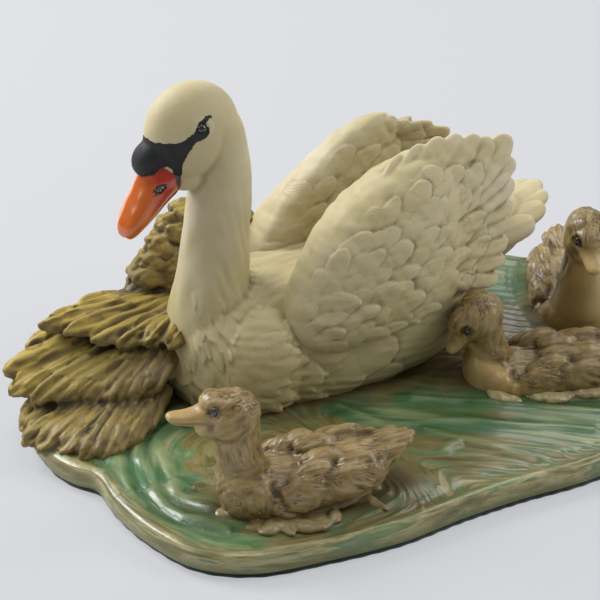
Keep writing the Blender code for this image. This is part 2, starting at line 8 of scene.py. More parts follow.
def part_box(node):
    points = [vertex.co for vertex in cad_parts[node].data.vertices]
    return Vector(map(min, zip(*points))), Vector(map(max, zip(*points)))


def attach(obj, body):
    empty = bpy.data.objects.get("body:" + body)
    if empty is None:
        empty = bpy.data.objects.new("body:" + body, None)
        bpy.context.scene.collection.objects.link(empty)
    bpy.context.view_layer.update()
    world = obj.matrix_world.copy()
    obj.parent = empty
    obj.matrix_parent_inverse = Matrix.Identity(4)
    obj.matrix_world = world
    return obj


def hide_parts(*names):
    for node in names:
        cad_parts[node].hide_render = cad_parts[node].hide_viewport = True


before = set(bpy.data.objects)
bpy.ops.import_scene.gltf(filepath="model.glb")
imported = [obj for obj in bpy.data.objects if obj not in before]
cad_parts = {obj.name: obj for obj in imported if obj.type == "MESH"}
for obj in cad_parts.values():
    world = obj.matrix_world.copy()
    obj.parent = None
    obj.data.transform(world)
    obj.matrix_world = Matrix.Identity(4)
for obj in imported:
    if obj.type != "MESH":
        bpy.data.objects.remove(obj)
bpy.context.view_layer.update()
print("frame loaded")

mm = 0.001
castingLow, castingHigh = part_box("swan_casting")
feltLow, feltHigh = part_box("felt_pad")
water = castingLow.z + 6.2 * mm
swanY = 28 * mm  # the swan's middle plane
xAxis, yAxis, zAxis = (np.array(row, float) for row in np.eye(3))


# Modelling helpers

def clearSelection():
    if bpy.context.mode != "OBJECT":
        bpy.ops.object.mode_set(mode="OBJECT")
    bpy.ops.object.select_all(action="DESELECT")


def pick(piece):
    clearSelection()
    piece.select_set(True)
    bpy.context.view_layer.objects.active = piece


def applyAll(piece):
    pick(piece)
    for modifier in list(piece.modifiers):
        bpy.ops.object.modifier_apply(modifier=modifier.name)


def joinAs(name, pieces):
    clearSelection()
    for piece in pieces:
        piece.select_set(True)
    bpy.context.view_layer.objects.active = pieces[0]
    if len(pieces) > 1:
        bpy.ops.object.join()
    pieces[0].name = name
    pieces[0].data.name = name
    return pieces[0]


def getPoints(piece):
    points = np.empty(len(piece.data.vertices) * 3)
    piece.data.vertices.foreach_get("co", points)
    return points.reshape(-1, 3)


def setPoints(piece, points):
    piece.data.vertices.foreach_set("co", np.asarray(points, np.float32).ravel())
    piece.data.update()


def getNormals(piece):
    normals = np.empty(len(piece.data.vertices) * 3)
    piece.data.vertex_normals.foreach_get("vector", normals)
    return normals.reshape(-1, 3)


def inMm(sizes):
    return [size * mm for size in sizes]


def keepValue(piece, name, values):
    # one value or an array, stored on the mesh for the materials to read
    attribute = piece.data.attributes.get(name) or piece.data.attributes.new(name, "FLOAT", "POINT")
    attribute.data.foreach_set("value", np.full(len(piece.data.vertices), values, np.float32))


def keepVector(piece, name, values):
    attribute = piece.data.attributes.get(name) or piece.data.attributes.new(name, "FLOAT_VECTOR", "POINT")
    attribute.data.foreach_set("vector", np.asarray(values, np.float32).ravel())


def smoothStep(values, low, high):
    t = np.clip((values - low) / (high - low), 0, 1)
    return t * t * (3 - 2 * t)


def hump(values, width):
    # 1 at zero, and falling away smoothly over the width
    return np.exp(-((values / width) ** 2))


def curveThrough(rows, places):
    # smooth curve through rows of numbers, read at places from 0 to 1
    table = np.array(rows, float)
    at = np.clip(np.asarray(places), 0, 1) * (len(table) - 1)
    first = np.minimum(at.astype(int), len(table) - 2)
    t = (at - first)[:, None]
    before, start = table[np.maximum(first - 1, 0)], table[first]
    end, after = table[first + 1], table[np.minimum(first + 2, len(table) - 1)]
    bend = 2 * before - 5 * start + 4 * end - after
    turn = 3 * start - before - 3 * end + after
    return 0.5 * (2 * start + (end - before) * t + bend * t**2 + turn * t**3)


def addSphere(segments, rings):
    clearSelection()
    bpy.ops.mesh.primitive_uv_sphere_add(segments=segments, ring_count=rings, radius=1)
    return bpy.context.active_object


def addBall(at, half, turn=None, segments=40, rings=24):
    ball = addSphere(segments, rings)
    matrix = Matrix.Translation(at) @ (turn or Matrix.Identity(4)) @ Matrix.Diagonal((*half, 1))
    ball.data.transform(matrix)
    return ball


def addLoft(stations, along=xAxis, side=yAxis, up=zAxis, origin=(0, 0, 0), fullness=1.0,
            segments=56, rings=56, ridges=None, runs=None):
    # stations: place along, middle sideways, middle upwards, half width, half height, in mm
    loft = addSphere(segments, rings)
    unit = getPoints(loft)
    share = np.arccos(np.clip(unit[:, 2], -1, 1)) / math.pi
    angle = np.arctan2(unit[:, 1], unit[:, 0])
    rows = curveThrough(stations, share) * mm
    closing = np.clip(np.sin(share * math.pi) * 6, 0, 1) ** 0.5
    sideways = np.sign(np.cos(angle)) * np.abs(np.cos(angle)) ** fullness
    upwards = np.sign(np.sin(angle)) * np.abs(np.sin(angle)) ** fullness
    lift = 0 if ridges is None else ridges(share, np.cos(angle)) * (np.sin(angle) > 0)
    run = 0 if runs is None else runs(share, np.cos(angle))
    points = (
        np.array(origin, float)
        + np.outer(rows[:, 0] + run, along)
        + np.outer(rows[:, 1] + rows[:, 3] * sideways * closing, side)
        + np.outer(rows[:, 2] + (rows[:, 4] * upwards + lift) * closing, up)
    )
    setPoints(loft, points)
    if np.dot(np.cross(side, up), along) > 0:
        pick(loft)
        bpy.ops.object.mode_set(mode="EDIT")
        bpy.ops.mesh.select_all(action="SELECT")
        bpy.ops.mesh.normals_make_consistent(inside=False)
        bpy.ops.object.mode_set(mode="OBJECT")
    return loft


def fuse(piece, voxel, rounds=4, strength=0.5):
    # grows the joined forms into one skin and softens it, as a cast figure is
    remesh = piece.modifiers.new("Skin", "REMESH")
    remesh.mode = "VOXEL"
    remesh.voxel_size = voxel
    remesh.use_smooth_shade = True
    soften = piece.modifiers.new("Soften", "SMOOTH")
    soften.factor = strength
    soften.iterations = rounds
    applyAll(piece)
    return piece


def blurred(piece, values, rounds):
    # averages values over the mesh's own edges
    edges = np.empty(len(piece.data.edges) * 2, np.int64)
    piece.data.edges.foreach_get("vertices", edges)
    ends = edges.reshape(-1, 2)
    count = len(piece.data.vertices)
    weight = np.bincount(ends[:, 0], minlength=count) + np.bincount(ends[:, 1], minlength=count)
    result = np.array(values, float)
    columns = result.reshape(count, -1)
    for _ in range(rounds):
        for k in range(columns.shape[1]):
            column = columns[:, k]
            total = np.bincount(ends[:, 0], column[ends[:, 1]], count)
            total += np.bincount(ends[:, 1], column[ends[:, 0]], count)
            columns[:, k] = 0.5 * column + 0.5 * total / np.maximum(weight, 1)
    return columns.reshape(result.shape)


def markRelief(piece, depth, rounds=24):
    # how deep a place lies under the skin round it, which the paints darken as painted shade in the hollows,
    # and worn: how far it stands out
    points = getPoints(piece)
    sunk = ((blurred(piece, points, rounds) - points) * getNormals(piece)).sum(1)
    keepValue(piece, "creviceShade", np.clip(sunk / depth, 0, 1))
    keepValue(piece, "worn", np.clip(-sunk / depth, 0, 1))


def carve(piece, heights):
    setPoints(piece, getPoints(piece) + getNormals(piece) * heights[:, None])


def waves3(points, seed, size):
    # smooth seeded unevenness between about -1 and 1
    rng = np.random.default_rng(seed)
    total = np.zeros(len(points))
    for _ in range(6):
        direction = rng.normal(size=3)
        direction *= 2 * math.pi / (size * (0.7 + 0.6 * rng.random()) * np.linalg.norm(direction))
        total += np.sin(points @ direction + rng.random() * 2 * math.pi)
    return total / 3


def insideDistance(places, outline):
    # distance to a closed outline, positive inside it
    corners = np.array(outline, float)
    nearest = np.full(len(places), 1e9)
    crossings = np.zeros(len(places), int)
    for start, end in zip(corners, np.roll(corners, -1, 0)):
        run = end - start
        share = np.clip(((places - start) @ run) / (run @ run), 0, 1)
        nearest = np.minimum(nearest, np.linalg.norm(places - start - share[:, None] * run, axis=1))
        level = (start[1] > places[:, 1]) != (end[1] > places[:, 1])
        where = start[0] + (places[:, 1] - start[1]) * run[0] / (run[1] or 1e-9)
        crossings += level & (places[:, 0] < where)
    return np.where(crossings % 2 == 1, nearest, -nearest)


def lineDistance(x, y, line):
    # distance to an open line through the given corners
    places = np.column_stack((x, y))
    nearest = np.full(len(x), 99.0)
    for start, end in zip(np.array(line[:-1], float), np.array(line[1:], float)):
        run = end - start
        share = np.clip((places - start) @ run / (run @ run), 0, 1)
        nearest = np.minimum(nearest, np.linalg.norm(places - start - share[:, None] * run, axis=1))
    return nearest


def grainOf(points, forms):
    # each place in mm along, across and out of the run of the form that it lies nearest to
    best = np.full(len(points), 1e9)
    grain = np.zeros((len(points), 3))
    for middle, half, direction in forms:
        along = np.array(direction, float) / np.linalg.norm(direction)
        side = np.cross((0.13, 0.21, 1.0), along)
        side /= np.linalg.norm(side)
        turned = np.stack((along, side, np.cross(along, side)))
        offset = points / mm - np.array(middle, float)
        reach = np.linalg.norm(offset / np.array(half, float), axis=1)
        near = reach < best
        best[near] = reach[near]
        grain[near] = (points[near] / mm) @ turned.T
    return grain


def strands(grain, seed, size=1.6):
    # uneven ridges that run along the grain, between about -1 and 1
    rng = np.random.default_rng(seed)
    total = np.zeros(len(grain))
    for _ in range(7):
        angle = rng.random() * math.pi
        pitch = size * rng.uniform(0.7, 1.6)
        across = grain[:, 1] * math.cos(angle) + grain[:, 2] * math.sin(angle)
        sway = 0.9 * np.sin(grain[:, 0] / rng.uniform(4, 9) + rng.random() * 6)
        total += np.sin(across * 2 * math.pi / pitch + sway + rng.random() * 6)
    return total / 3.5


featherReach = 6 * mm  # how far off its own plane a feather still marks the skin


def layFeathers(piece, feathers):
    # overlapping scales: each rises from its root to its tip and ends in a step
    points, normals = getPoints(piece), getNormals(piece)
    height = np.zeros(len(points))
    barbs = np.zeros(len(points))
    for feather in feathers:
        root, along, out = (np.array(feather[k], float) for k in ("root", "along", "out"))
        along = along / np.linalg.norm(along)
        across = np.cross(out, along)
        across /= np.linalg.norm(across)
        offset = points - root
        t = offset @ along / feather["length"]
        near = (t > 0) & (t < 1) & (normals @ out > 0.1) & (np.abs(offset @ out) < featherReach)
        t, s = t[near], offset[near] @ across
        s = s - feather["bend"] * t**2
        half = feather["width"] / 2 * np.sqrt(1 - np.clip((t - 0.5) / 0.5, 0, 1) ** feather["point"])
        half = np.maximum(half * (0.75 + 0.25 * np.clip(t / 0.3, 0, 1)), 1e-6)
        edge = np.clip((1 - np.abs(s) / half) / 0.22, 0, 1)
        crown = 1 - 0.25 * (s / half) ** 2
        shaft = 0.12 * hump(s, 0.3 * mm)
        raised = feather["lift"] * (0.15 + 0.85 * t) * (crown + shaft) * edge**0.6
        better = raised > height[near]
        places = np.flatnonzero(near)[better]
        height[places] = raised[better]
        hatched = feather["barbed"] * smoothStep(t[better], 0.35, 0.6)
        barbs[places] = (t[better] * feather["length"] + np.abs(s[better]) * 0.9) / mm * (hatched > 0.5)
    keepValue(piece, "barbs", barbs)
    carve(piece, height)


# Material helpers

def newPaint(name):
    paint = bpy.data.materials.new(name)
    paint.use_nodes = True
    paint.node_tree.nodes.clear()
    return paint.node_tree


def addNode(tree, kind, inputs=None, **settings):
    node = tree.nodes.new(kind)
    for key, value in settings.items():
        setattr(node, key, value)
    for key, value in (inputs or {}).items():
        socket = node.inputs[key]
        if isinstance(value, bpy.types.NodeSocket):
            tree.links.new(value, socket)
        else:
            socket.default_value = value
    return node


def mixColours(tree, share, first, second):
    # each colour is the name of a paint's colour, or a socket
    node = addNode(tree, "ShaderNodeMix", {0: share}, data_type="RGBA")
    for socket, value in ((node.inputs[6], first), (node.inputs[7], second)):
        if isinstance(value, str):
            socket.default_value = (*colours[value], 1)
        else:
            tree.links.new(value, socket)
    return node.outputs[2]


def calculate(tree, operation, first, second=0.0, clamp=False):
    node = addNode(tree, "ShaderNodeMath", {0: first, 1: second}, operation=operation)
    node.use_clamp = clamp
    return node.outputs[0]


def times(tree, first, second, clamp=False):
    return calculate(tree, "MULTIPLY", first, second, clamp)


def plus(tree, first, second):
    return calculate(tree, "ADD", first, second)


def spread(tree, value, low, high, newLow=0.0, newHigh=1.0):
    # runs smoothly from newLow to newHigh while the value goes from low to high
    inputs = {0: value, 1: low, 2: high, 3: newLow, 4: newHigh}
    return addNode(tree, "ShaderNodeMapRange", inputs, interpolation_type="SMOOTHSTEP").outputs[0]


def stored(tree, name, vector=False):
    node = addNode(tree, "ShaderNodeAttribute", attribute_name=name)
    return node.outputs["Vector" if vector else "Fac"]


def objectPlace(tree):
    return addNode(tree, "ShaderNodeTexCoord").outputs["Object"]


def noise(tree, place, scale, detail=4.0, roughness=0.55, stretch=None, distortion=0.0):
    if stretch is not None:
        place = addNode(tree, "ShaderNodeMapping", {"Vector": place, "Scale": stretch}).outputs[0]
    return addNode(
        tree, "ShaderNodeTexNoise",
        {"Vector": place, "Scale": scale, "Detail": detail, "Roughness": roughness, "Distortion": distortion},
    ).outputs[0]


def finishPaint(tree, finish, colour, roughness, height=None):
    finish = finishes[finish]
    shader = addNode(tree, "ShaderNodeBsdfPrincipled", {"Base Color": colour, "Roughness": roughness})
    shader.inputs["Coat Weight"].default_value = finish.get("coat", 0.0)
    shader.inputs["Coat Roughness"].default_value = finishes["coatRoughness"]
    shader.inputs["Sheen Weight"].default_value = finish.get("sheen", 0.0)
    if "glow" in finish:
        shader.inputs["Subsurface Weight"].default_value = finish["glow"]
        shader.inputs["Subsurface Scale"].default_value = finishes["glowDepth"]
    if height is not None:
        strength, depth = finish["relief"]
        relief = addNode(tree, "ShaderNodeBump", {"Height": height, "Strength": strength, "Distance": depth})
        tree.links.new(relief.outputs[0], shader.inputs["Normal"])
    addNode(tree, "ShaderNodeOutputMaterial", {"Surface": shader.outputs[0]})


def dress(piece, paint, node="swan_casting"):
    piece.data.materials.clear()
    piece.data.materials.append(bpy.data.materials[paint])
    pick(piece)
    bpy.ops.object.shade_smooth()
    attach(piece, "root")
    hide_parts(node)


# Paints

finishes = {  # relief: strength and depth; glow: the share of light that sinks into the resin
    "ivory": {"relief": (0.5, 0.25 * mm), "glow": 0.12},
    "bill": {"relief": (0.25, 0.3 * mm), "coat": 0.5},
    "eye": {"coat": 0.7},
    "down": {"relief": (0.5, 0.3 * mm), "coat": 0.18, "glow": 0.08},
    "plant": {"relief": (0.6, 0.4 * mm)},
    "water": {"relief": (0.5, 0.4 * mm), "coat": 0.35},
    "lobe": {"relief": (0.5, 0.4 * mm), "coat": 0.15},
    "felt": {"relief": (0.8, 0.4 * mm), "sheen": 0.4},
    "coatRoughness": 0.12, "glowDepth": 2 * mm,
}
colours = {  # linear
    "ivoryPale": (0.59, 0.53, 0.365), "ivoryCream": (0.50, 0.425, 0.235), "ivoryYellow": (0.48, 0.395, 0.165),
    "ivoryShade": (0.135, 0.100, 0.045), "maskBlack": (0.007, 0.008, 0.009), "eyeBrown": (0.03, 0.02, 0.015),
    "billRed": (0.38, 0.025, 0.007), "billOrange": (0.56, 0.120, 0.012), "billPale": (0.60, 0.42, 0.20),
    "downTan": (0.200, 0.130, 0.040), "downPale": (0.34, 0.245, 0.095), "downBrown": (0.048, 0.026, 0.007),
    "horn": (0.44, 0.300, 0.110),
    "plantOchre": (0.53, 0.385, 0.055), "plantOlive": (0.090, 0.061, 0.015),
    "plantPale": (0.235, 0.170, 0.050), "plantDark": (0.022, 0.013, 0.004),
    "waterDeep": (0.012, 0.062, 0.024), "waterGreen": (0.036, 0.132, 0.045),
    "waterTeal": (0.085, 0.172, 0.070), "waterMint": (0.205, 0.260, 0.115),
    "waterOlive": (0.135, 0.135, 0.038), "waterBrown": (0.075, 0.048, 0.016),
    "waterSand": (0.235, 0.190, 0.072), "waterCream": (0.40, 0.350, 0.165), "lobeTan": (0.300, 0.225, 0.100),
    "felt": (0.008, 0.030, 0.022), "feltLight": (0.020, 0.062, 0.044),
}


def ramp(tree, value, stops):
    # stops: place and colour name
    node = addNode(tree, "ShaderNodeValToRGB", {"Fac": value})
    marks = node.color_ramp.elements
    while len(marks) < len(stops):
        marks.new(0.5)
    for mark, (place, name) in zip(marks, stops):
        mark.position = place
        mark.color = (*colours[name], 1)
    return node.outputs[0]


def makeIvory():
    tree = newPaint("ivoryPaint")
    place = objectPlace(tree)
    cloud = spread(tree, noise(tree, place, 38.0, 5.0), 0.35, 0.65)
    colour = mixColours(tree, cloud, "ivoryCream", "ivoryPale")
    # yellower towards the crown, the foot of the breast and the far wing's tips; on the near wing this yellow
    # is painted shade
    colour = mixColours(tree, times(tree, stored(tree, "warm"), 0.8), colour, "ivoryYellow")
    # painted shade: the hollows are darkened towards a brown, patchily
    patchy = spread(tree, noise(tree, place, 260.0), 0.25, 0.7, 0.55, 1.0)
    shadeShare = times(tree, stored(tree, "creviceShade"), patchy)
    colour = mixColours(tree, times(tree, shadeShare, 0.85, clamp=True), colour, "ivoryShade")
    colour = mixColours(tree, times(tree, stored(tree, "worn"), 0.35), colour, "ivoryPale")
    ragged = spread(tree, noise(tree, place, 900.0, 2.0), 0.2, 0.8, -0.22, 0.22)
    masked = spread(tree, plus(tree, stored(tree, "mask"), ragged), -0.06, 0.10)
    colour = mixColours(tree, masked, colour, "maskBlack")
    barbs = calculate(tree, "SINE", times(tree, stored(tree, "barbs"), 7.0))
    fine = noise(tree, place, 1400.0, 3.0)
    broad = noise(tree, place, 330.0, 4.0)
    height = plus(tree, times(tree, barbs, 0.20), times(tree, fine, 0.35))
    height = plus(tree, height, times(tree, broad, 1.0))
    height = plus(tree, height, masked)
    rough = plus(tree, spread(tree, broad, 0.3, 0.7, 0.52, 0.66), times(tree, masked, 0.06))
    finishPaint(tree, "ivory", colour, rough, height)


def makeBillPaint():
    tree = newPaint("billPaint")
    place = objectPlace(tree)
    blotch = times(tree, noise(tree, place, 240.0, 4.0), 9.0)
    along = plus(tree, stored(tree, "reach"), blotch)
    upper = times(tree, spread(tree, stored(tree, "level"), -0.3, 0.9), 7.0)
    tone = spread(tree, plus(tree, along, upper), 27.0, 36.0)
    colour = mixColours(tree, tone, "billRed", "billOrange")
    colour = mixColours(tree, times(tree, stored(tree, "lip"), 0.75), colour, "billPale")
    colour = mixColours(tree, stored(tree, "mouth"), colour, "maskBlack")
    chips = spread(tree, noise(tree, place, 1100.0, 2.0), 0.62, 0.68)
    hole = spread(tree, stored(tree, "nostril"), -0.02, 0.12)
    colour = mixColours(tree, hole, colour, mixColours(tree, chips, "maskBlack", "billPale"))
    ragged = spread(tree, noise(tree, place, 900.0, 2.0), 0.2, 0.8, -0.3, 0.3)
    masked = spread(tree, plus(tree, stored(tree, "mask"), ragged), -0.05, 0.08)
    colour = mixColours(tree, masked, colour, "maskBlack")
    height = plus(tree, noise(tree, place, 420.0, 4.0), times(tree, masked, 0.8))
    rough = plus(tree, 0.20, times(tree, masked, 0.28))
    finishPaint(tree, "bill", colour, rough, height)


def makeEyePaint():
    tree = newPaint("eyePaint")
    tint = noise(tree, objectPlace(tree), 900.0)
    colour = mixColours(tree, tint, "maskBlack", "eyeBrown")
    finishPaint(tree, "eye", colour, plus(tree, 0.10, times(tree, tint, 0.1)))


def makeDownPaint():
    tree = newPaint("downPaint")
    grain = stored(tree, "grain", True)
    place = objectPlace(tree)
    soft = spread(tree, noise(tree, grain, 0.30, 3.0, stretch=(0.4, 1, 1)), 0.35, 0.68)
    colour = mixColours(tree, soft, "downTan", "downPale")
    thin = noise(tree, grain, 1.7, 2.0, stretch=(0.11, 1, 1))
    strokes = times(tree, spread(tree, thin, 0.49, 0.56), stored(tree, "strokes"))
    gaps = spread(tree, noise(tree, place, 200.0, 2.0), 0.40, 0.52)
    strokes = times(tree, strokes, plus(tree, times(tree, gaps, 0.75), 0.2))
    colour = mixColours(tree, strokes, colour, "downBrown")
    # painted shade: the hollows are darkened towards dark brown
    shadeShare = times(tree, stored(tree, "creviceShade"), 0.95, clamp=True)
    colour = mixColours(tree, shadeShare, colour, "downBrown")
    colour = mixColours(tree, times(tree, stored(tree, "worn"), 0.45), colour, "downPale")
    colour = mixColours(tree, times(tree, stored(tree, "horn"), 0.9), colour, "horn")
    colour = mixColours(tree, times(tree, stored(tree, "mouth"), 0.6), colour, "downBrown")
    hair = noise(tree, grain, 2.6, 2.0, stretch=(0.12, 1, 1))
    height = plus(tree, hair, times(tree, noise(tree, place, 500.0), 0.6))
    rough = spread(tree, noise(tree, place, 120.0), 0.3, 0.7, 0.30, 0.46)
    finishPaint(tree, "down", colour, rough, height)


def makePlantPaint():
    tree = newPaint("plantPaint")
    grain = stored(tree, "grain", True)
    place = objectPlace(tree)
    patch = spread(tree, noise(tree, place, 60.0, 4.0), 0.38, 0.62)
    streak = spread(tree, noise(tree, grain, 0.5, 4.0, stretch=(0.18, 1, 1)), 0.35, 0.65)
    colour = mixColours(tree, streak, "plantOlive", "plantPale")
    normal = addNode(tree, "ShaderNodeNewGeometry").outputs["Normal"]
    up = addNode(tree, "ShaderNodeSeparateXYZ", {0: normal}).outputs[2]
    top = spread(tree, plus(tree, up, times(tree, patch, 0.3)), 0.25, 1.05)
    gilt = times(tree, top, stored(tree, "ochre"))
    colour = mixColours(tree, times(tree, gilt, 0.95), colour, "plantOchre")
    colour = mixColours(tree, times(tree, stored(tree, "worn"), 0.5), colour, "plantPale")
    # painted shade: the hollows, and the deep gaps between the leaves most, are darkened towards a dark brown
    patchy = spread(tree, streak, 0.0, 1.0, 0.8, 1.15)
    shadeShare = times(tree, stored(tree, "creviceShade"), patchy, clamp=True)
    colour = mixColours(tree, times(tree, shadeShare, 0.85), colour, "plantDark")
    colour = mixColours(tree, times(tree, stored(tree, "deepShade"), 0.95), colour, "plantDark")
    hair = noise(tree, grain, 1.6, 3.0, stretch=(0.14, 1, 1))
    height = plus(tree, hair, times(tree, noise(tree, place, 420.0), 0.8))
    rough = spread(tree, patch, 0.0, 1.0, 0.42, 0.60)
    finishPaint(tree, "plant", colour, rough, height)


waterTones = {  # places on a ramp and their colours
    "green": (
        (0.38, "waterDeep"), (0.45, "waterGreen"), (0.51, "waterTeal"), (0.57, "waterMint"),
        (0.66, "waterCream"),
    ),
    "earth": (
        (0.37, "waterBrown"), (0.44, "waterOlive"), (0.50, "waterSand"), (0.55, "waterTeal"),
        (0.62, "waterCream"),
    ),
    "lobes": (
        (0.36, "waterBrown"), (0.42, "waterSand"), (0.49, "lobeTan"), (0.56, "waterCream"),
        (0.62, "waterOlive"),
    ),
    "rim": (
        (0.36, "waterBrown"), (0.43, "waterOlive"), (0.48, "waterSand"), (0.53, "waterCream"),
        (0.58, "waterTeal"), (0.66, "waterMint"),
    ),
}


def makeWaterPaint(name="waterPaint", sandy=False):
    # streaks along the flow, sandy on the wave lobes
    tree = newPaint(name)
    flow = stored(tree, "flow", True)
    place = objectPlace(tree)
    broad = noise(tree, flow, 0.055, 3.0, stretch=(0.45, 1, 1), distortion=0.5)
    middle = noise(tree, flow, 0.17, 4.0, stretch=(0.24, 1, 1), distortion=0.5)
    thin = noise(tree, flow, 0.8, 4.0, stretch=(0.10, 1, 1), distortion=0.3)
    tone = plus(tree, times(tree, broad, 0.45), times(tree, middle, 0.40))
    tone = plus(tree, tone, times(tree, thin, 0.15))
    green = ramp(tree, tone, waterTones["green"])
    earth = ramp(tree, tone, waterTones["lobes" if sandy else "earth"])
    patches = times(tree, calculate(tree, "SUBTRACT", middle, 0.5), 2.2)
    leaning = spread(tree, plus(tree, stored(tree, "green"), patches), 0.25, 0.75)
    colour = mixColours(tree, leaning, earth, green)
    foam = plus(tree, times(tree, stored(tree, "crest"), 0.8), middle)
    foam = spread(tree, foam, 0.75, 1.45)
    colour = mixColours(tree, times(tree, foam, 0.55), colour, "waterMint")
    # painted shade: the water's hollows are darkened towards brown on the earthy water and deep green on the
    # green water
    sunk = times(tree, stored(tree, "creviceShade"), spread(tree, middle, 0.35, 0.6, 0.5, 0.9))
    colour = mixColours(tree, sunk, colour, mixColours(tree, leaning, "waterBrown", "waterDeep"))
    edge = plus(tree, stored(tree, "edge"), times(tree, middle, 5.0))
    rim = spread(tree, edge, 3.4, 6.6, 1.0, 0.0)
    bands = stored(tree, "rimFlow", True)
    broadBand = noise(tree, bands, 0.17, 4.0, stretch=(0.24, 1, 1), distortion=0.5)
    thinBand = noise(tree, bands, 0.8, 4.0, stretch=(0.10, 1, 1))
    rimTone = plus(tree, times(tree, broadBand, 0.7), times(tree, thinBand, 0.3))
    rimColour = ramp(tree, rimTone, waterTones["rim"])
    colour = mixColours(tree, times(tree, rim, 0.85), colour, rimColour)
    under = times(tree, stored(tree, "under"), spread(tree, broad, 0.3, 0.7, 0.5, 1.0))
    colour = mixColours(tree, under, colour, "waterOlive")
    shore = times(tree, stored(tree, "shore"), spread(tree, thin, 0.3, 0.7, 0.7, 1.0), clamp=True)
    colour = mixColours(tree, shore, colour, "waterBrown")
    height = plus(tree, times(tree, thin, 1.0), times(tree, middle, 1.6))
    height = plus(tree, height, times(tree, noise(tree, place, 700.0), 0.3))
    rough = spread(tree, middle, 0.3, 0.7, 0.28, 0.46)
    finishPaint(tree, "lobe" if sandy else "water", colour, rough, height)


def makeLobePaint():
    makeWaterPaint("lobePaint", sandy=True)


def makeFeltPaint():
    tree = newPaint("feltPaint")
    place = objectPlace(tree)
    fibres = noise(tree, place, 2600.0, 3.0)
    patch = noise(tree, place, 90.0)
    tone = plus(tree, times(tree, fibres, 0.7), times(tree, patch, 0.3))
    colour = mixColours(tree, spread(tree, tone, 0.35, 0.65), "felt", "feltLight")
    finishPaint(tree, "felt", colour, spread(tree, fibres, 0.3, 0.7, 0.85, 1.0), fibres)


for makePaint in (
    makeIvory, makeBillPaint, makeEyePaint, makeDownPaint, makePlantPaint, makeWaterPaint, makeLobePaint,
    makeFeltPaint,
):
    makePaint()
print("paints mixed")


# Swan's body, neck and head

swan = {
    "body": (  # place along, sideways, height above the water, half width, half height
        (-60, 0, 13, 1, 2), (-58.5, 0, 13, 9, 12), (-54, 0, 13, 16, 18), (-45, 0, 14, 22.5, 21.5),
        (-25, 0, 15, 27.0, 23), (0, 0, 16, 28.5, 23), (22, 0, 19, 27.5, 23), (40, 0, 24, 23, 20),
        (52, 0, 29, 15, 14), (60, 0, 33, 8, 6), (62, 0, 34, 1, 1),
    ),
    "neck": (  # height, place along, half depth, half width
        (8, -43, 4, 4), (12, -44, 16, 17), (24, -45.6, 15.0, 15.5), (34, -46.0, 13.4, 13.4),
        (45, -45.3, 12.0, 11.6), (56, -44.0, 10.9, 10.5), (68, -42.6, 10.2, 9.8),
        (80, -41.7, 9.9, 9.6), (90, -42.6, 9.7, 9.6), (99, -44.4, 9.5, 9.4), (104, -46.4, 7.4, 8.0),
        (107, -48, 3, 3),
    ),
    "flank": (  # root along and its height, rise of the feather, length, width and lift
        (-21, 16, 0.30, 30, 19, 2.3), (3, 21, 0.22, 29, 20, 2.5), (24, 26, 0.20, 27, 18, 2.2),
        (-23, 11.5, 0.30, 16, 13, 1.7), (-31, 9.5, 0.12, 14, 12, 1.5), (-32, 17, 0.45, 13, 11, 1.5),
        (-12, 10, 0.2, 22, 13, 1.1), (10, 13, 0.25, 24, 14, 1.1), (32, 20, 0.30, 22, 13, 1.1),
    ),
    "breast": {"at": (-36, 16.5, 15), "half": (15.5, 11.5, 19)},  # the swell on each side
    "grain": (  # middle, half sizes and run of the forms that the fine strands follow
        ((-40, 28, 40), (12, 12, 30), (0.28, 0, -1)), ((0, 28, 26), (60, 30, 22), (1, 0, -0.2)),
    ),
    "voxel": 0.60 * mm,
}
head = {
    "at": Vector((-50.5 * mm, swanY, 99 * mm)), "pitch": math.radians(47),
    "forms": (  # middle and half sizes along the bill, sideways and upwards, in mm
        ((1.0, 0, -0.4), (15.3, 10.4, 15.0)), ((8.4, 0, -0.3), (9.4, 7.8, 8.6)),
        ((9.0, 0, -6.5), (9.5, 6.4, 8.8)), ((11.5, 0, 4.6), (6.0, 6.4, 4.6)),
    ),
    "knob": ((15.0, 0, 5.7), (6.2, 5.2, 5.0)),
    # outline of the black mask beside the bill: places along the bill's axis and above it, in mm
    "mask": (
        (10.6, 11.3), (10.6, 10.4), (9.7, 9.6), (8.3, 8.2), (6.8, 6.6), (5.5, 5.8), (3.4, 5.4), (2.1, 4.9),
        (0.2, 5.1), (-1.7, 5.5), (-3.2, 5.3), (-4.6, 4.7), (-6.2, 2.9), (-5.6, 2.3), (-4.6, 3.4), (-3.5, 3.6),
        (-2.9, 3.1), (-2.4, 1.6), (-1.4, 0.9), (0.1, 0.9), (1.5, 1.5), (2.8, 2.2), (4.0, 2.4), (5.4, 1.9),
        (7.5, 1.6), (9.3, 1.0), (11.0, -0.2), (12.4, -1.8), (13.6, -3.2), (15.6, -4.9), (17.8, -8.2),
        (18.0, -7.2), (17.0, -4.4), (15.9, -2.6), (15.0, -1.3), (14.4, 0.1), (13.9, 1.2), (14.0, 2.6),
        (14.8, 3.4), (15.6, 3.8), (16.5, 3.9), (17.6, 3.8), (18.9, 4.3), (19.8, 5.2), (20.6, 6.1),
        (20.3, 7.9), (19.0, 12.0),
    ),
    "eye": (-1.1, 9.7, 3.4), "eyeRadius": 1.6,  # place along, sideways and up, in mm
    "nostril": (20.7, 0.3),
}
noMask = -9.0  # the mask's value on all that is outside it
headTurn = Matrix((
    (-math.cos(head["pitch"]), 0, -math.sin(head["pitch"]), 0), (0, -1, 0, 0),
    (-math.sin(head["pitch"]), 0, math.cos(head["pitch"]), 0), (0, 0, 0, 1),
))
headPlace = Matrix.Translation(head["at"]) @ headTurn


def inHead(points):
    # the points in the head's own frame: along the bill, sideways, upwards, in mm
    turn = np.array(headTurn.to_3x3())
    return (points - np.array(head["at"])) @ turn / mm


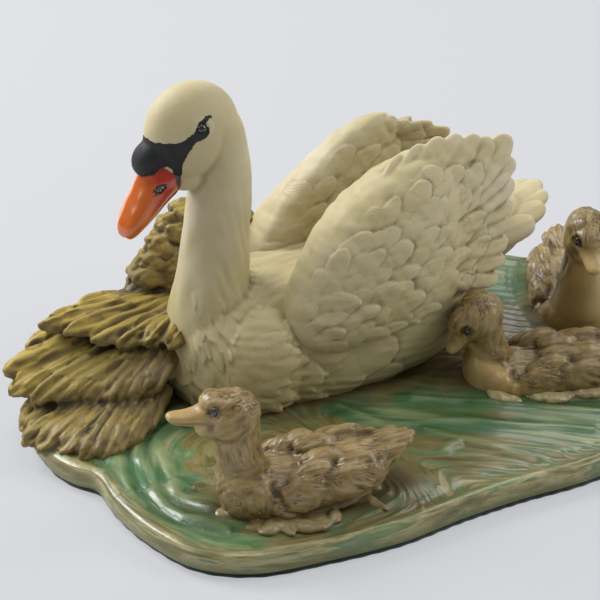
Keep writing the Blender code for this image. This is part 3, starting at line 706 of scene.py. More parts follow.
def markMask(piece, onBill=False):
    # how far inside the black mask each place lies, in mm
    local = inHead(getPoints(piece))
    distance = np.full(len(local), noMask)
    near = (local[:, 0] > -9) & (local[:, 0] < 24) & (np.abs(local[:, 2]) < 14)
    distance[near] = insideDistance(local[near][:, (0, 2)], head["mask"])
    if onBill:
        distance = np.minimum(distance, 19 - local[:, 0])
    else:
        middle, half = head["knob"]
        reach = np.linalg.norm((local - middle) / np.array(half), axis=1)
        distance = np.maximum(distance, 5 * (1.12 - reach))
    keepValue(piece, "mask", distance)


def scatterFeathers(spots, seed, point=2.4, mess=0.12):
    # spots: place, outward direction, run of the feather, length, width, lift and bend in mm
    rng = np.random.default_rng(seed)
    feathers = []
    for at, out, along, length, width, lift, bend in spots:
        out = np.array(out, float) / np.linalg.norm(out)
        along = np.array(along, float) + rng.normal(size=3) * mess
        size = rng.uniform(0.8, 1.2)
        feathers.append({
            "root": np.array(at, float), "along": along - out * (along @ out), "out": out,
            "length": length * size * mm, "width": width * rng.uniform(0.8, 1.2) * mm,
            "lift": lift * rng.uniform(1 - 3 * mess, 1 + mess) * mm, "bend": bend * mm, "point": point,
            "barbed": rng.random() < 0.5,
        })
    return feathers


def bodySpot(side, x, z):
    # a point on the body's flank, from its place along and its height in mm, and the way out from it
    places = [row[0] for row in swan["body"]]
    middle, wide, high = (np.interp(x, places, [row[k] for row in swan["body"]]) for k in (2, 3, 4))
    level = np.clip((z - water / mm - middle) / high, -0.92, 0.92)
    reach = wide * (1 - abs(level) ** 2.5) ** 0.4
    out = np.array((0, side * (reach / wide) ** 1.5 / wide, np.sign(level) * abs(level) ** 1.5 / high))
    return np.array((x * mm, swanY + side * reach * mm, z * mm)), out / np.linalg.norm(out)


def flankFeathers():
    # a few large smooth feathers under each wing, over rounder ones at their front
    spots = []
    for side in (-1, 1):
        for x, z, rise, length, width, lift in swan["flank"]:
            at, out = bodySpot(side, x, z)
            spots.append((at, out, (1.0, 0, rise), length, width, lift, 0))
    return scatterFeathers(spots, 5, 3.2)


def breastFeathers():
    # bent locks down the foot of the neck, then ragged tufts that sweep back from it
    rng = np.random.default_rng(12)
    locks, tufts = [], []
    for side in (-1, 1):
        for z in np.arange(46, 13, -2.2):
            reach = np.interp(z, (8, 24, 34, 45, 56), (16, 15.4, 13.4, 11.8, 10.7)) * mm
            for turn in np.arange(0.55, 2.3, 0.30):
                turn += rng.normal() * 0.09
                angle = side * turn
                out = (-math.cos(angle), math.sin(angle), 0.2)
                level = (z + rng.normal() * 1.2) * mm
                at = (-45.5 * mm - reach * math.cos(angle), swanY + reach * math.sin(angle), level)
                deep = 0.35 + 0.4 * float(smoothStep(np.array(z), 46, 30))
                run = (0.25 + 0.5 * turn, side * 0.3, -1.0)
                length, width, bend = (rng.uniform(*limits) for limits in ((6, 11), (2.2, 3.6), (0.2, 2.2)))
                locks.append((at, out, run, length, width, deep, side * bend))
        for turn in (0.0, 0.45, 0.9, 1.3):
            out = (-math.cos(turn), side * math.sin(turn), 0.1)
            at = (-45 * mm - 15 * mm * math.cos(turn), swanY + side * 15 * mm * math.sin(turn), 24 * mm)
            tufts.append((at, out, (0, 0, -1.0), 8.5, 8.0, 1.5, 0))
        for row, x in enumerate(np.arange(-45, -22, 3.6)):
            for z in np.arange(12, 44, 4.6):
                at, out = bodySpot(side, x, min(z + 2.3 * (row % 2), 33))
                at = at + (rng.normal() * mm, side * 3 * mm, rng.normal() * mm)
                rise = -0.75 + 0.035 * (z - 12)
                size = rng.uniform(0.75, 1.3)
                tufts.append((at, out, (1.0, 0, rise), 9.5 * size, 5.2 * size, 1.15, rng.uniform(-1.4, 1.4)))
    return scatterFeathers(locks, 11, 1.2) + scatterFeathers(tufts, 13, 1.7)


body = addLoft(swan["body"], origin=(0, swanY, water), fullness=0.8)
neck = addLoft(
    [(z, x, 0, depth, width) for z, x, depth, width in swan["neck"]],
    along=zAxis, side=xAxis, up=yAxis, origin=(0, swanY, 0),
)
along, out, up = swan["breast"]["at"]
tufts = [
    addBall((along * mm, swanY + side * out * mm, water + up * mm), inMm(swan["breast"]["half"]))
    for side in (-1, 1)
]
headForms = [
    addBall(headPlace @ (Vector(middle) * mm), inMm(half), headTurn)
    for middle, half in (*head["forms"], head["knob"])
]
swanBody = fuse(joinAs("swanBody", [body, neck, *tufts, *headForms]), swan["voxel"], 8)
layFeathers(swanBody, flankFeathers() + breastFeathers())
soft = getPoints(swanBody)
below = 1 - smoothStep(soft[:, 2], 66 * mm, 80 * mm)
grain = grainOf(soft, swan["grain"])
sides = smoothStep(soft[:, 0], -54 * mm, -47 * mm)
ruffle = waves3(soft, 3, 8 * mm) * 0.16 + strands(grain, 4, 2.4) * 0.13 * sides
local = inHead(soft)
socket = np.hypot(local[:, 0] - head["eye"][0], local[:, 2] - head["eye"][2])
brow = 0.5 * hump(socket - 2.6, 0.9) * (np.abs(local[:, 1]) > 6)
carve(swanBody, (ruffle * (0.25 + 0.75 * below) + brow) * mm)
markRelief(swanBody, 0.45 * mm)
crownWarmth = smoothStep(local[:, 2] - local[:, 0] * 0.1, 6, 12) * 0.6 * (soft[:, 2] > 90 * mm)
breastWarmth = 0.75 * (1 - smoothStep(soft[:, 2], 34 * mm, 70 * mm))
keepValue(swanBody, "warm", np.maximum(crownWarmth, breastWarmth))
markMask(swanBody)
dress(swanBody, "ivoryPaint")
print("swan's body done", len(swanBody.data.polygons))


# Bill and eyes

bill = {
    "rows": (  # place along the axis, sideways, height over it, half width, half height
        (9, 0, -0.8, 1, 1), (10, 0, -0.8, 3.6, 4.5), (14, 0, -1.0, 5.5, 6.4), (18, 0, -1.2, 6.7, 6.9),
        (22, 0, -1.5, 6.3, 6.0), (27, 0, -1.9, 6.1, 5.0), (32, 0, -2.2, 5.9, 4.0), (35.5, 0, -2.5, 5.2, 3.1),
        (37.8, 0, -2.8, 3.8, 2.1), (38.8, 0, -2.9, 1.2, 0.8),
    ),
    "voxel": 0.26 * mm,
}


def makeBill():
    turn = np.array(headTurn.to_3x3()).T
    loft = addLoft(bill["rows"], turn[0], turn[1], turn[2], head["at"], fullness=0.92, segments=64, rings=64)
    piece = fuse(joinAs("swanBill", [loft]), bill["voxel"], 3)
    local = inHead(getPoints(piece))
    places = [row[0] for row in bill["rows"]]
    level = local[:, 2] - np.interp(local[:, 0], places, [row[2] for row in bill["rows"]])
    level /= np.interp(local[:, 0], places, [row[4] for row in bill["rows"]])
    front = smoothStep(local[:, 0], 16, 20)
    mouth = hump(level + 0.62, 0.08) * front
    lip = hump(level + 0.45, 0.09) * front
    ridge = hump(local[:, 1], 1.6) * (level > 0) * smoothStep(local[:, 0], 18, 24)
    nail = np.exp(-(((local[:, 0] - 36.4) / 1.6) ** 2 + (local[:, 1] / 2.2) ** 2)) * (level > 0)
    across, above = local[:, 0] - head["nostril"][0], local[:, 2] - head["nostril"][1]
    long = across * 0.97 + above * 0.22
    wide = above * 0.97 - across * 0.22
    ragged = 0.4 * waves3(local * mm, 31, 1.8 * mm)
    slot = 1 - np.hypot(long / (2.7 + ragged), wide / (1.25 + 0.5 * ragged))
    slot = np.where(np.abs(local[:, 1]) > 2.5, slot, -1)
    hole = smoothStep(slot, -0.05, 0.35)
    carve(piece, (-0.42 * mouth + 0.16 * lip + 0.35 * ridge + 0.3 * nail - 0.7 * hole) * mm)
    carve(piece, waves3(getPoints(piece), 32, 5 * mm) * 0.05 * mm)
    keepValue(piece, "mouth", mouth)
    keepValue(piece, "lip", lip)
    keepValue(piece, "nostril", slot)
    keepValue(piece, "reach", local[:, 0])
    keepValue(piece, "level", level)
    markMask(piece, onBill=True)
    dress(piece, "billPaint")


def makeEyes():
    along, out, above = head["eye"]
    for side, name in ((-1, "nearEye"), (1, "farEye")):
        at = headPlace @ Vector((along * mm, -side * (out - 0.35) * mm, above * mm))
        ball = addBall(at, [head["eyeRadius"] * mm] * 3, segments=32, rings=20)
        dress(joinAs(name, [ball]), "eyePaint")


makeBill()
makeEyes()
print("bill and eyes done")


# Wings

wing = {
    # rows of the near wing, then of the far wing: place along, sideways from the wing's middle,
    # height, half thickness, half height
    "core": (
        (
            (-31, 1, 38, 1, 2), (-28.5, 1, 38, 5, 7), (-22, 0, 40, 8.5, 14), (-12, 0, 46, 11, 20.5),
            (2, 0, 51.6, 12, 24.0), (15, 0, 55.2, 11.2, 25.0), (24, 0, 57.0, 9.0, 23.0),
            (30, 0, 57.5, 6.0, 19), (35, 0, 57, 3, 12), (38, 0, 57, 1, 4),
        ),
        (
            (-30, 1, 34, 1, 2), (-27.5, 1, 34.5, 5, 6), (-21, 0, 37, 8, 11.5), (-13, 0, 41.5, 9.5, 17),
            (-1, 0, 47.8, 9.2, 21.4), (11, 0, 53.0, 8.2, 25.2), (21, 0, 56.0, 7, 25.6), (27, 0, 57.5, 5, 23),
            (33, 0, 57, 3, 15), (37, 0, 57, 1, 4),
        ),
    ),
    "middle": 20.5 * mm, "lean": 0.20, "fullness": 0.78, "voxel": 0.50 * mm,
    "sunk": (0.0, 3.5),  # how far the top edge's feathers lie inside each wing, in mm
    # flight feathers from the top down: tip's place along, sideways from the swan's middle and
    # height, then slope, length and width
    "flight": (
        (
            (47.5, 15.0, 79.5, 33, 30, 9), (55.3, 14.5, 78.0, 27, 34, 10), (56.3, 15.5, 70.5, 16, 35, 9.5),
            (55.6, 17.0, 63.5, 6, 34, 9.5), (54.0, 18.5, 57.0, -3, 33, 9), (52.5, 20.0, 51.0, -9, 32, 8.5),
            (51.0, 21.5, 45.0, -14, 31, 8.5), (49.0, 23.0, 39.5, -18, 29, 8), (45.5, 24.5, 34.5, -20, 26, 8),
        ),
        (
            (37.0, 14.5, 75.5, 8, 28, 9), (45.5, 14.0, 73.0, 1, 30, 9), (52.5, 14.0, 69.0, -6, 32, 9),
            (54.0, 15.0, 63.0, -8, 31, 9), (54.0, 16.5, 57.5, -10, 30, 8.5), (53.0, 18.0, 52.0, -13, 29, 8.5),
            (51.0, 19.5, 46.5, -16, 28, 8), (49.0, 21.0, 41.0, -18, 27, 8), (46.0, 22.0, 36.0, -20, 25, 7.5),
        ),
    ),
    # feathers along the top edge: tip's place along and height, slope, length and width
    "upper": (
        (
            (15.5, 80.6, 33, 20, 8), (22.5, 82.4, 32, 22, 8), (29.5, 83.0, 31, 23, 8),
            (36.0, 82.6, 31, 24, 8), (42.5, 81.4, 31, 25, 8),
        ),
        (
            (12, 73.4, 24, 22, 10), (19.5, 76.6, 24, 26, 11), (26.5, 79.6, 24, 30, 12),
            (30.5, 77.6, 30, 30, 12),
        ),
    ),
    "scales": ((1, 4.6, 1.25), (-1, 6.0, 1.0)),  # outer and inner face: pitch of the rows and lift
}
tail = {
    "side": 3,  # feathers on each side of the middle one
    "root": (48, 2.2, 40), "tip": (80.5, 5.6, 50),  # place along, step sideways and height
    "back": 1.6, "fall": 1.3,  # how much shorter and lower the outer feathers' tips are
    "width": 10.6, "thickness": 3.0, "curl": 0.3, "voxel": 0.55 * mm,
}


def wingRow(side, x):
    # middle, half thickness and half height of a wing at a place along, in mm
    rows = wing["core"][side > 0]
    places = [row[0] for row in rows]
    return [np.interp(x, places, [row[k] for row in rows]) for k in (2, 3, 4)]


def wingSpot(side, x, z, out=0.0, face=1):
    # a point on a wing's outer face, or its inner one, from its place along and its height in mm
    middle, thick, high = wingRow(side, x)
    level = min(abs(z - middle) / max(high, 1), 1)
    bulge = thick * (1 - level ** (2 / wing["fullness"])) ** (wing["fullness"] / 2)
    y = wing["middle"] - wing["lean"] * (z - middle) * mm + face * (bulge + out) * mm
    return np.array((x * mm, swanY + side * y, z * mm))


def addBlade(start, end, out, width, thickness=2.0, curl=0.0):
    # one long feather with a raised shaft and a thin edge
    along = np.array(end) - np.array(start)
    length = np.linalg.norm(along) / mm
    along /= np.linalg.norm(along)
    out = np.array(out, float) - along * (np.array(out) @ along)
    out /= np.linalg.norm(out)
    w, thick = width / 2, thickness / 2
    stations = (
        (0, 0, 0, 0.2, 0.2), (1, 0, 0, w * 0.7, thick), (length * 0.3, 0, 0, w * 0.9, thick),
        (length * 0.6, 0, 0.2, w, thick), (length * 0.82, 0, 0.3 + curl, w * 0.92, thick * 0.9),
        (length * 0.95, 0, 0.3 + curl * 1.6, w * 0.6, thick * 0.7), (length, 0, 0.3 + curl * 2, 0.4, 0.3),
    )

    def ridges(share, across):
        return (0.28 * hump(across, 0.12) + 0.3 * (1 - across**2)) * mm

    return addLoft(stations, along, np.cross(out, along), out, start, 0.85, 32, 32, ridges)


def bladeRoot(side, x, z, slope, length):
    # the root's place along and height in mm, kept inside the wing's core
    along = x - length * math.cos(math.radians(slope))
    middle, _, high = wingRow(side, along)
    return along, min(z - length * math.sin(math.radians(slope)), middle + 0.7 * high)


def wingBlades(side):
    blades = []
    for x, y, z, slope, length, width in wing["flight"][side > 0]:
        tip = np.array((x * mm, swanY + side * y * mm, z * mm))
        start = wingSpot(side, *bladeRoot(side, x, z, slope, length), -3.4)
        blades.append(addBlade(start, tip, (0, side, 0.62), width, 2.4, 0.15))
    for x, z, slope, length, width in wing["upper"][side > 0]:
        sunk = wing["sunk"][side > 0]
        start = wingSpot(side, *bladeRoot(side, x, z, slope, length), -2.6 - sunk)
        end = wingSpot(side, x, z, -1.0 - 0.5 * sunk)
        blades.append(addBlade(start, end, (0, side, 0.4), width, 2.2 + 0.4 * sunk, 0.1))
    return blades


def wingCoverts(side, face, pitch, lift):
    # rows of scales on one face of a wing, larger and bolder towards the flight feathers
    spots = []
    for row, x in enumerate(np.arange(-26, 30, pitch)):
        middle, _, rise = wingRow(side, x)
        count = max(3, int(2 * rise / (pitch * 1.25)))
        for k in range(count):
            level = -0.95 + 1.8 * (k + 0.5 * (row % 2)) / count
            height = middle + rise * level
            at = wingSpot(side, x, height, face=face)
            above = wingSpot(side, x, height + 1, face=face)
            ahead = wingSpot(side, x + 2, height, face=face)
            out = np.cross(ahead - at, above - at)
            out *= side * face * np.sign(out[1])
            slope = math.radians(22 + 20 * level)
            size = np.interp(x, (-27, 31), (0.80, 1.25)) * pitch / 5.0
            along = np.array((math.cos(slope), 0, math.sin(slope)))
            bold = np.interp(x, (-27, 0, 31), (0.8, 0.9, 1.0))
            bold *= 1 - 0.6 * smoothStep(np.array(level), 0.6, 0.9) * (x < 20)
            spots.append((at - 3 * mm * along, out, along, 12.0 * size, 7.2 * size, lift * float(bold), 0))
    return scatterFeathers(spots, 21 + side, 1.9, 0.24)


def makeWing(side, name):
    far = int(side > 0)
    stations = wing["core"][far]
    seat = (0, swanY + side * wing["middle"], 0)
    core = addLoft(stations, xAxis, yAxis * side, zAxis, seat, wing["fullness"], 64, 64)
    points = getPoints(core)
    middle = np.interp(points[:, 0] / mm, [row[0] for row in stations], [row[2] for row in stations]) * mm
    points[:, 1] -= side * wing["lean"] * (points[:, 2] - middle)
    setPoints(core, points)
    piece = fuse(joinAs(name, [core, *wingBlades(side)]), wing["voxel"], 2)
    layFeathers(piece, [scale for row in wing["scales"] for scale in wingCoverts(side, *row)])
    points = getPoints(piece)
    carve(piece, (waves3(points, 8, 7 * mm) * 0.18 + waves3(points, 18, 3.5 * mm) * 0.07) * mm)
    markRelief(piece, 0.30 * mm)
    tipped = smoothStep(points[:, 2] + points[:, 0] * 0.3, 80 * mm, 95 * mm) * (0.9 if far else 0.3)
    shaded = 0.1 if far else 0.6 - 0.5 * smoothStep(points[:, 0], 34 * mm, 46 * mm)
    keepValue(piece, "warm", np.maximum(tipped, shaded))
    keepValue(piece, "mask", noMask)
    dress(piece, "ivoryPaint")
    print(name, "done", len(piece.data.polygons))


def makeTail():
    # a fan of upturned feathers behind the body
    blades = []
    rootX, rootY, rootZ = tail["root"]
    tipX, tipY, tipZ = tail["tip"]
    for k in range(-tail["side"], tail["side"] + 1):
        start = np.array((rootX * mm, swanY + k * rootY * mm, (rootZ - abs(k)) * mm))
        tip = np.array((
            (tipX - tail["back"] * k * k) * mm, swanY + k * tipY * mm, (tipZ - tail["fall"] * abs(k)) * mm
        ))
        out = (-0.35, k * 0.12, 1)
        blades.append(addBlade(start, tip, out, tail["width"], tail["thickness"], tail["curl"]))
    under = addBall((58 * mm, swanY, 38 * mm), (17 * mm, 12 * mm, 9 * mm), Matrix.Rotation(-0.45, 4, "Y"))
    piece = fuse(joinAs("swanTail", [under, *blades]), tail["voxel"], 2)
    carve(piece, waves3(getPoints(piece), 9, 6 * mm) * 0.12 * mm)
    markRelief(piece, 0.42 * mm)
    keepValue(piece, "warm", 0.15)
    keepValue(piece, "mask", noMask)
    keepValue(piece, "barbs", 0)
    dress(piece, "ivoryPaint")


makeWing(-1, "nearWing")
makeWing(1, "farWing")
makeTail()
print("wings and tail done")


# Cygnets

chick = {
    "body": (  # place along, sideways, height over the water, half width, half height
        (0, 0, 8.5, 1, 1), (2, 0, 8, 6.5, 7.5), (6, 0, 7.0, 10.2, 9.2), (13, 0, 5.4, 12.2, 8.4),
        (22, 0, 4.6, 12.6, 8.2), (31, 0, 5.4, 12.6, 9.4), (40, 0, 6.6, 11.2, 9.2), (48, 0, 9.2, 7.8, 6.4),
        (54, 0, 12.2, 4.4, 3.6), (58.5, 0, 14.2, 1.2, 0.8),
    ),
    "skull": (8.6, 7.5, 7.5), "jaw": ((4.0, 0, -3.2), (6.4, 5.2, 4.6)), "voxel": 0.50 * mm,
    "bill": (  # place along the bill, sideways, height, half width, half height
        (4, 0, 0.0, 1, 1), (5, 0, 0.0, 4.8, 4.6), (8, 0, 0.0, 4.2, 3.8), (11, 0, -0.2, 3.4, 2.6),
        (14, 0, -0.3, 3.1, 2.0), (16.6, 0, -0.1, 2.7, 1.7), (18.2, 0, 0.1, 1.9, 1.2),
        (18.8, 0, 0.1, 0.7, 0.5),
    ),
    "eye": (5.8, 4.7, 3.4), "eyeHalf": (0.9, 0.8, 1.5),
    "bridge": ((4.6, 0, 4.4), (4.8, 4.6, 3.0)), "cheek": ((1.5, 5.6, -1.5), (4.6, 2.4, 4.2)),
    "flight": (4, 4.4, 2.2), "tail": (2, 4.4, 2.2),  # count, or count on each side, width and thickness
    "lobes": (  # middle, half sizes, tip and turn of the folded wing's parts and the back's
        ((23, 11.6, 7.8), (9.5, 3.6, 6.2), -24, -6), ((36, 10.4, 9.4), (12.5, 3.8, 5.8), -14, -2),
        ((26, 8.6, 12.6), (7.2, 3.8, 3.8), -22, 2), ((39, 7.4, 13.4), (7.6, 3.4, 3.6), -14, 6),
        ((31, 3.8, 15.0), (6.6, 3.6, 2.4), -6, 4), ((12, 9.6, 6.8), (5.6, 3.4, 4.4), 35, 10),
    ),
    "seam": ((15, 11), (17.5, 5.5), (23, 2.2), (33, 2.6), (45, 5.4), (53, 10)),  # under the folded wing
    "marks": (  # where the dark strokes lie thickest: place along, height and reach
        (18, 7, 6), (31, 13.5, 4), (42, 10.5, 4.5), (25, 14, 3.5), (46, 14, 5), (9, 6, 5), (30, 3, 5),
        (10, 22, 5),
    ),
}
cygnets = (  # place over the water, the head's place, and rows of the neck: along, height and radius
    {
        "name": "frontCygnet", "place": (-77.6, -34.0, 0.0), "heading": -14.7,
        "turn": 0, "nod": -4, "beak": 1.0, "head": (5.0, 0.0, 31.6),
        "neck": ((9.0, 7, 9.0), (8.4, 13, 7.6), (7.2, 19, 6.8), (6.6, 25, 6.8), (6.4, 31, 6.6)),
    },
    {
        "name": "middleCygnet", "place": (26.5, -6.5, -5.0), "heading": -26,
        "turn": 20, "nod": 48, "beak": 0.72, "head": (4.6, 0.0, 27.4),
        "neck": ((9.5, 9, 8.6), (8.6, 14, 7.2), (7.4, 19, 6.4), (6.0, 24, 6.4), (5, 27, 6.4)),
    },
    {
        "name": "rearCygnet", "place": (77.5, -3.0, -5.0), "heading": 62,
        "turn": 4, "nod": 30, "beak": 0.85, "head": (5.0, 0.0, 40.6),
        "neck": ((9.5, 9, 9.6), (8.8, 19, 8.2), (7.6, 28, 7.0), (6.4, 35, 6.4), (5.4, 40, 6.2)),
    },
)


def turnBy(yaw, tip):
    return Matrix.Rotation(math.radians(yaw), 4, "Z") @ Matrix.Rotation(math.radians(tip), 4, "Y")


def headBall(look, at, half):
    return addBall((0, 0, 0), inMm(half), look @ Matrix.Translation(Vector(at) * mm))


def makeCygnet(bird):
    seat = Matrix.Translation([bird["place"][0] * mm, bird["place"][1] * mm, water + bird["place"][2] * mm])
    seat = seat @ Matrix.Rotation(math.radians(bird["heading"]), 4, "Z")
    headAt = Vector(bird["head"]) * mm
    look = Matrix.Translation(headAt) @ turnBy(180 + bird["turn"], bird["nod"])
    turn = np.array(look.to_3x3()).T

    trunk = addLoft(chick["body"], fullness=0.9)
    neck = addLoft(
        [(bird["neck"][0][1] - 2, bird["neck"][0][0], 0, 2, 2)]
        + [(z, x, 0, r, r) for x, z, r in bird["neck"]]
        + [(bird["neck"][-1][1] + 3, bird["neck"][-1][0], 0, 1, 1)],
        along=zAxis, side=xAxis, up=yAxis,
    )
    skull = addBall((0, 0, 0), inMm(chick["skull"]), look)
    jaw = headBall(look, *chick["jaw"])
    (along, out, up), half = chick["cheek"]
    cheeks = [headBall(look, (along, s * out, up), half) for s in (-1, 1)]
    bill = [(6 + (row[0] - 6) * bird["beak"], *row[1:]) for row in chick["bill"]]
    beak = addLoft(bill, turn[0], turn[1], turn[2], headAt, 0.95, 40, 40)
    bridge = headBall(look, *chick["bridge"])
    parts = [trunk, neck, skull, jaw, bridge, *cheeks, beak]
    forms = [((30, 0, 11), (30, 13, 13), (1, 0, 0.1)), ((8, 0, 19), (7, 7, 14), (0.25, 0, -1))]
    forms.append((bird["head"], chick["skull"], -np.array(turn[0]) + 0.5 * np.array(turn[2])))
    for s in (-1, 1):
        for at, half, tip, yaw in chick["lobes"]:
            place = Matrix.Translation((at[0] * mm, s * at[1] * mm, at[2] * mm)) @ turnBy(s * yaw, tip)
            parts.append(addBall((0, 0, 0), inMm(half), place, 32, 20))
            along = place.to_3x3() @ Vector((0.72, 0, -0.69))
            forms.append(((at[0], s * at[1], at[2]), half, tuple(along)))
        count, width, thickness = chick["flight"]
        for k in range(count):
            start = np.array((31 + 3 * k, s * (11.8 - 0.8 * k), 5.6 + 2.3 * k)) * mm
            tip = np.array((48.0 + 0.6 * k, s * (10.2 - 1.8 * k), 9.4 + 2.0 * k)) * mm
            parts.append(addBlade(start, tip, (0, s, 0.45), width, thickness))
    count, width, thickness = chick["tail"]
    for k in range(-count, count + 1):
        start = np.array((42, k * 1.6, 12.5)) * mm
        tip = np.array((60.5 - 1.1 * k * k, k * 2.6, 16.0 - 0.5 * abs(k))) * mm
        parts.append(addBlade(start, tip, (-0.2, k * 0.15, 1), width, thickness))
    piece = fuse(joinAs(bird["name"], parts), chick["voxel"], 4)
    points = getPoints(piece)
    seam = lineDistance(points[:, 0] / mm, points[:, 2] / mm, chick["seam"])
    seam = hump(seam, 1.1) * (np.abs(points[:, 1]) > 5 * mm)
    grain = grainOf(points, forms)
    fluff = strands(grain, 41) * 0.15 + waves3(points, 42, 5 * mm) * 0.16
    look = np.array(look.inverted())
    local = (points @ look[:3, :3].T + look[:3, 3]) / mm
    rows = [row[0] for row in bill]
    onBill = smoothStep(local[:, 0], 7.2, 9.4)
    billLevel = local[:, 2] - np.interp(local[:, 0], rows, [row[2] for row in bill])
    mouth = hump(billLevel + 0.7, 0.45) * smoothStep(local[:, 0], 7, 9)
    eye = np.array(chick["eye"])
    socket = np.hypot((local[:, 0] - eye[0]) / 2.3, (local[:, 2] - eye[2]) / 2.6)
    socket = np.where(np.abs(local[:, 1]) > 3, socket, 9)
    lids = 0.25 * hump(socket - 1, 0.3) - 0.4 * (socket < 0.8)
    carve(piece, (fluff * (1 - onBill) - 1.2 * seam - 0.30 * mouth + lids) * mm)
    keepVector(piece, "grain", grain)
    keepValue(piece, "horn", onBill)
    keepValue(piece, "mouth", mouth)
    strokes = np.full(len(points), 0.3)
    for along, high, reach in chick["marks"]:
        away = np.hypot(points[:, 0] / mm - along, points[:, 2] / mm - high) / reach
        strokes = np.maximum(strokes, np.exp(-(away**4)))
    crown = smoothStep(local[:, 2], 1.0, 4.0) * (np.linalg.norm(local, axis=1) < 11)
    face = smoothStep(local[:, 0], -4, 1) * (np.linalg.norm(local - (4, 0, -2), axis=1) < 9)
    strokes = np.maximum(strokes * (1 - 0.9 * face), crown)
    keepValue(piece, "strokes", strokes)
    markRelief(piece, 0.5 * mm)
    piece.data.transform(seat)
    outward = seat.to_3x3() @ Matrix(turn.T.tolist())
    for s in (-1, 1):
        at = seat @ headAt + outward @ Vector((eye[0], s * eye[1], eye[2])) * mm
        ball = addBall((0, 0, 0), inMm(chick["eyeHalf"]), Matrix.Translation(at), 24, 16)
        dress(joinAs(bird["name"] + ("EyeA" if s < 0 else "EyeB"), [ball]), "eyePaint")
    dress(piece, "downPaint")
    print(bird["name"], "done", len(piece.data.polygons))


for bird in cygnets:
    makeCygnet(bird)


# Water plants

plants = {
    # each fan: the line of its leaves' roots over the water, their tips, width, thickness, droop and
    # taper, and the share of ochre paint on the first and on the last leaf
    "fans": (
        {
            "roots": ((-66, 42, 7), (-64, 28, 7)),
            "width": 11.5, "thickness": 6.0, "droop": 0.05, "taper": 0.60, "ochre": (0.5, 0.1),
            "tips": (
                (-110, 37.5, 3.2), (-113, 31.5, 3.0), (-112.5, 26, 2.4), (-110, 19.5, 1.8),
                (-106.5, 13.5, 1.6), (-101.5, 9, 1.6), (-96, 6.5, 1.6), (-89, 8, 1.8), (-82, 12, 2),
                (-75, 17, 2),
            ),
        },
        {
            "roots": ((-62, 46, 21), (-58, 30, 19)),
            "width": 9.8, "thickness": 5.6, "droop": 0.06, "taper": 0.68, "ochre": (1.0, 0.0),
            "tips": (
                (-101, 52, 19), (-112.5, 45.5, 17), (-111, 39.5, 13), (-106, 34.5, 10.8), (-100, 30, 9.6),
                (-93, 26, 9), (-87, 22, 9), (-81, 20, 9), (-75, 19, 9.5),
            ),
        },
        {
            "roots": ((-46, 52, 24), (-48, 34, 26)),
            "width": 10.0, "thickness": 4.6, "droop": 0.03, "taper": 0.72, "ochre": (1.0, 0.55),
            "tips": (
                (-84, 53, 26.5), (-96.5, 46.5, 28.0), (-90, 41, 26.5), (-84, 36, 24), (-78, 31, 22.5),
                (-71, 26, 22.5), (-65, 21, 23),
            ),
        },
        {
            "roots": ((-14, 58, 34), (-34, 54, 22)),
            "width": 13.0, "thickness": 8.0, "droop": 0.02, "taper": 0.60, "ochre": (1.0, 0.1),
            "tips": (
                (-24, 56, 44), (-31, 56, 48), (-38, 56, 51.5), (-45, 56, 53.5), (-51, 55, 49.5),
                (-55.5, 55, 44), (-59, 54.5, 38.5), (-62, 54, 33.5), (-65, 53, 29),
            ),
        },
        {
            "roots": ((-40, 56, 30), (-44, 52, 6)),
            "width": 10.5, "thickness": 6.0, "droop": 0.08, "taper": 0.68, "ochre": (0.5, 0.2),
            "tips": (
                (-8, 58, 31), (-5, 60, 22), (-6, 62, 12), (-22, 65, 8), (-40, 66, 8), (-58, 65, 7),
                (-76, 63, 6), (-90, 58, 6),
            ),
        },
    ),
    "mounds": (
        ((-84, 34, 1), (21, 17, 9)), ((-66, 42, 5), (19, 15, 17)), ((-44, 52, 12), (16, 9, 29)),
        ((-20, 56, 8), (19, 8, 22)), ((-28, 57, 30), (17, 6, 12)),
    ),
    "voxel": 0.62 * mm,
}


def leafFrame(root, tip):
    root, tip = np.array(root, float), np.array(tip, float)
    along = (tip - root) / np.linalg.norm(tip - root)
    flat = np.array((-along[1], along[0], 0.0))
    flat /= np.linalg.norm(flat)
    up = np.cross(along, flat)
    return along, flat, up * np.sign(up[2])


def fanLeaves():
    # root, tip, width, thickness, droop, taper and ochre share of every leaf of the fans
    rng = np.random.default_rng(60)
    leaves = []
    for fan in plants["fans"]:
        first, last = (np.array(end, float) for end in fan["roots"])
        count = len(fan["tips"]) - 1
        for k, tip in enumerate(fan["tips"]):
            share = k / count
            root = first * (1 - share) + last * share
            tip = root + (np.array(tip) - root) * rng.uniform(0.96, 1.02)
            width = fan["width"] * rng.uniform(0.85, 1.2)
            ochre = fan["ochre"][0] * (1 - share) + fan["ochre"][1] * share
            leaves.append((root, tip, width, fan["thickness"], fan["droop"], fan["taper"], ochre))
    return leaves


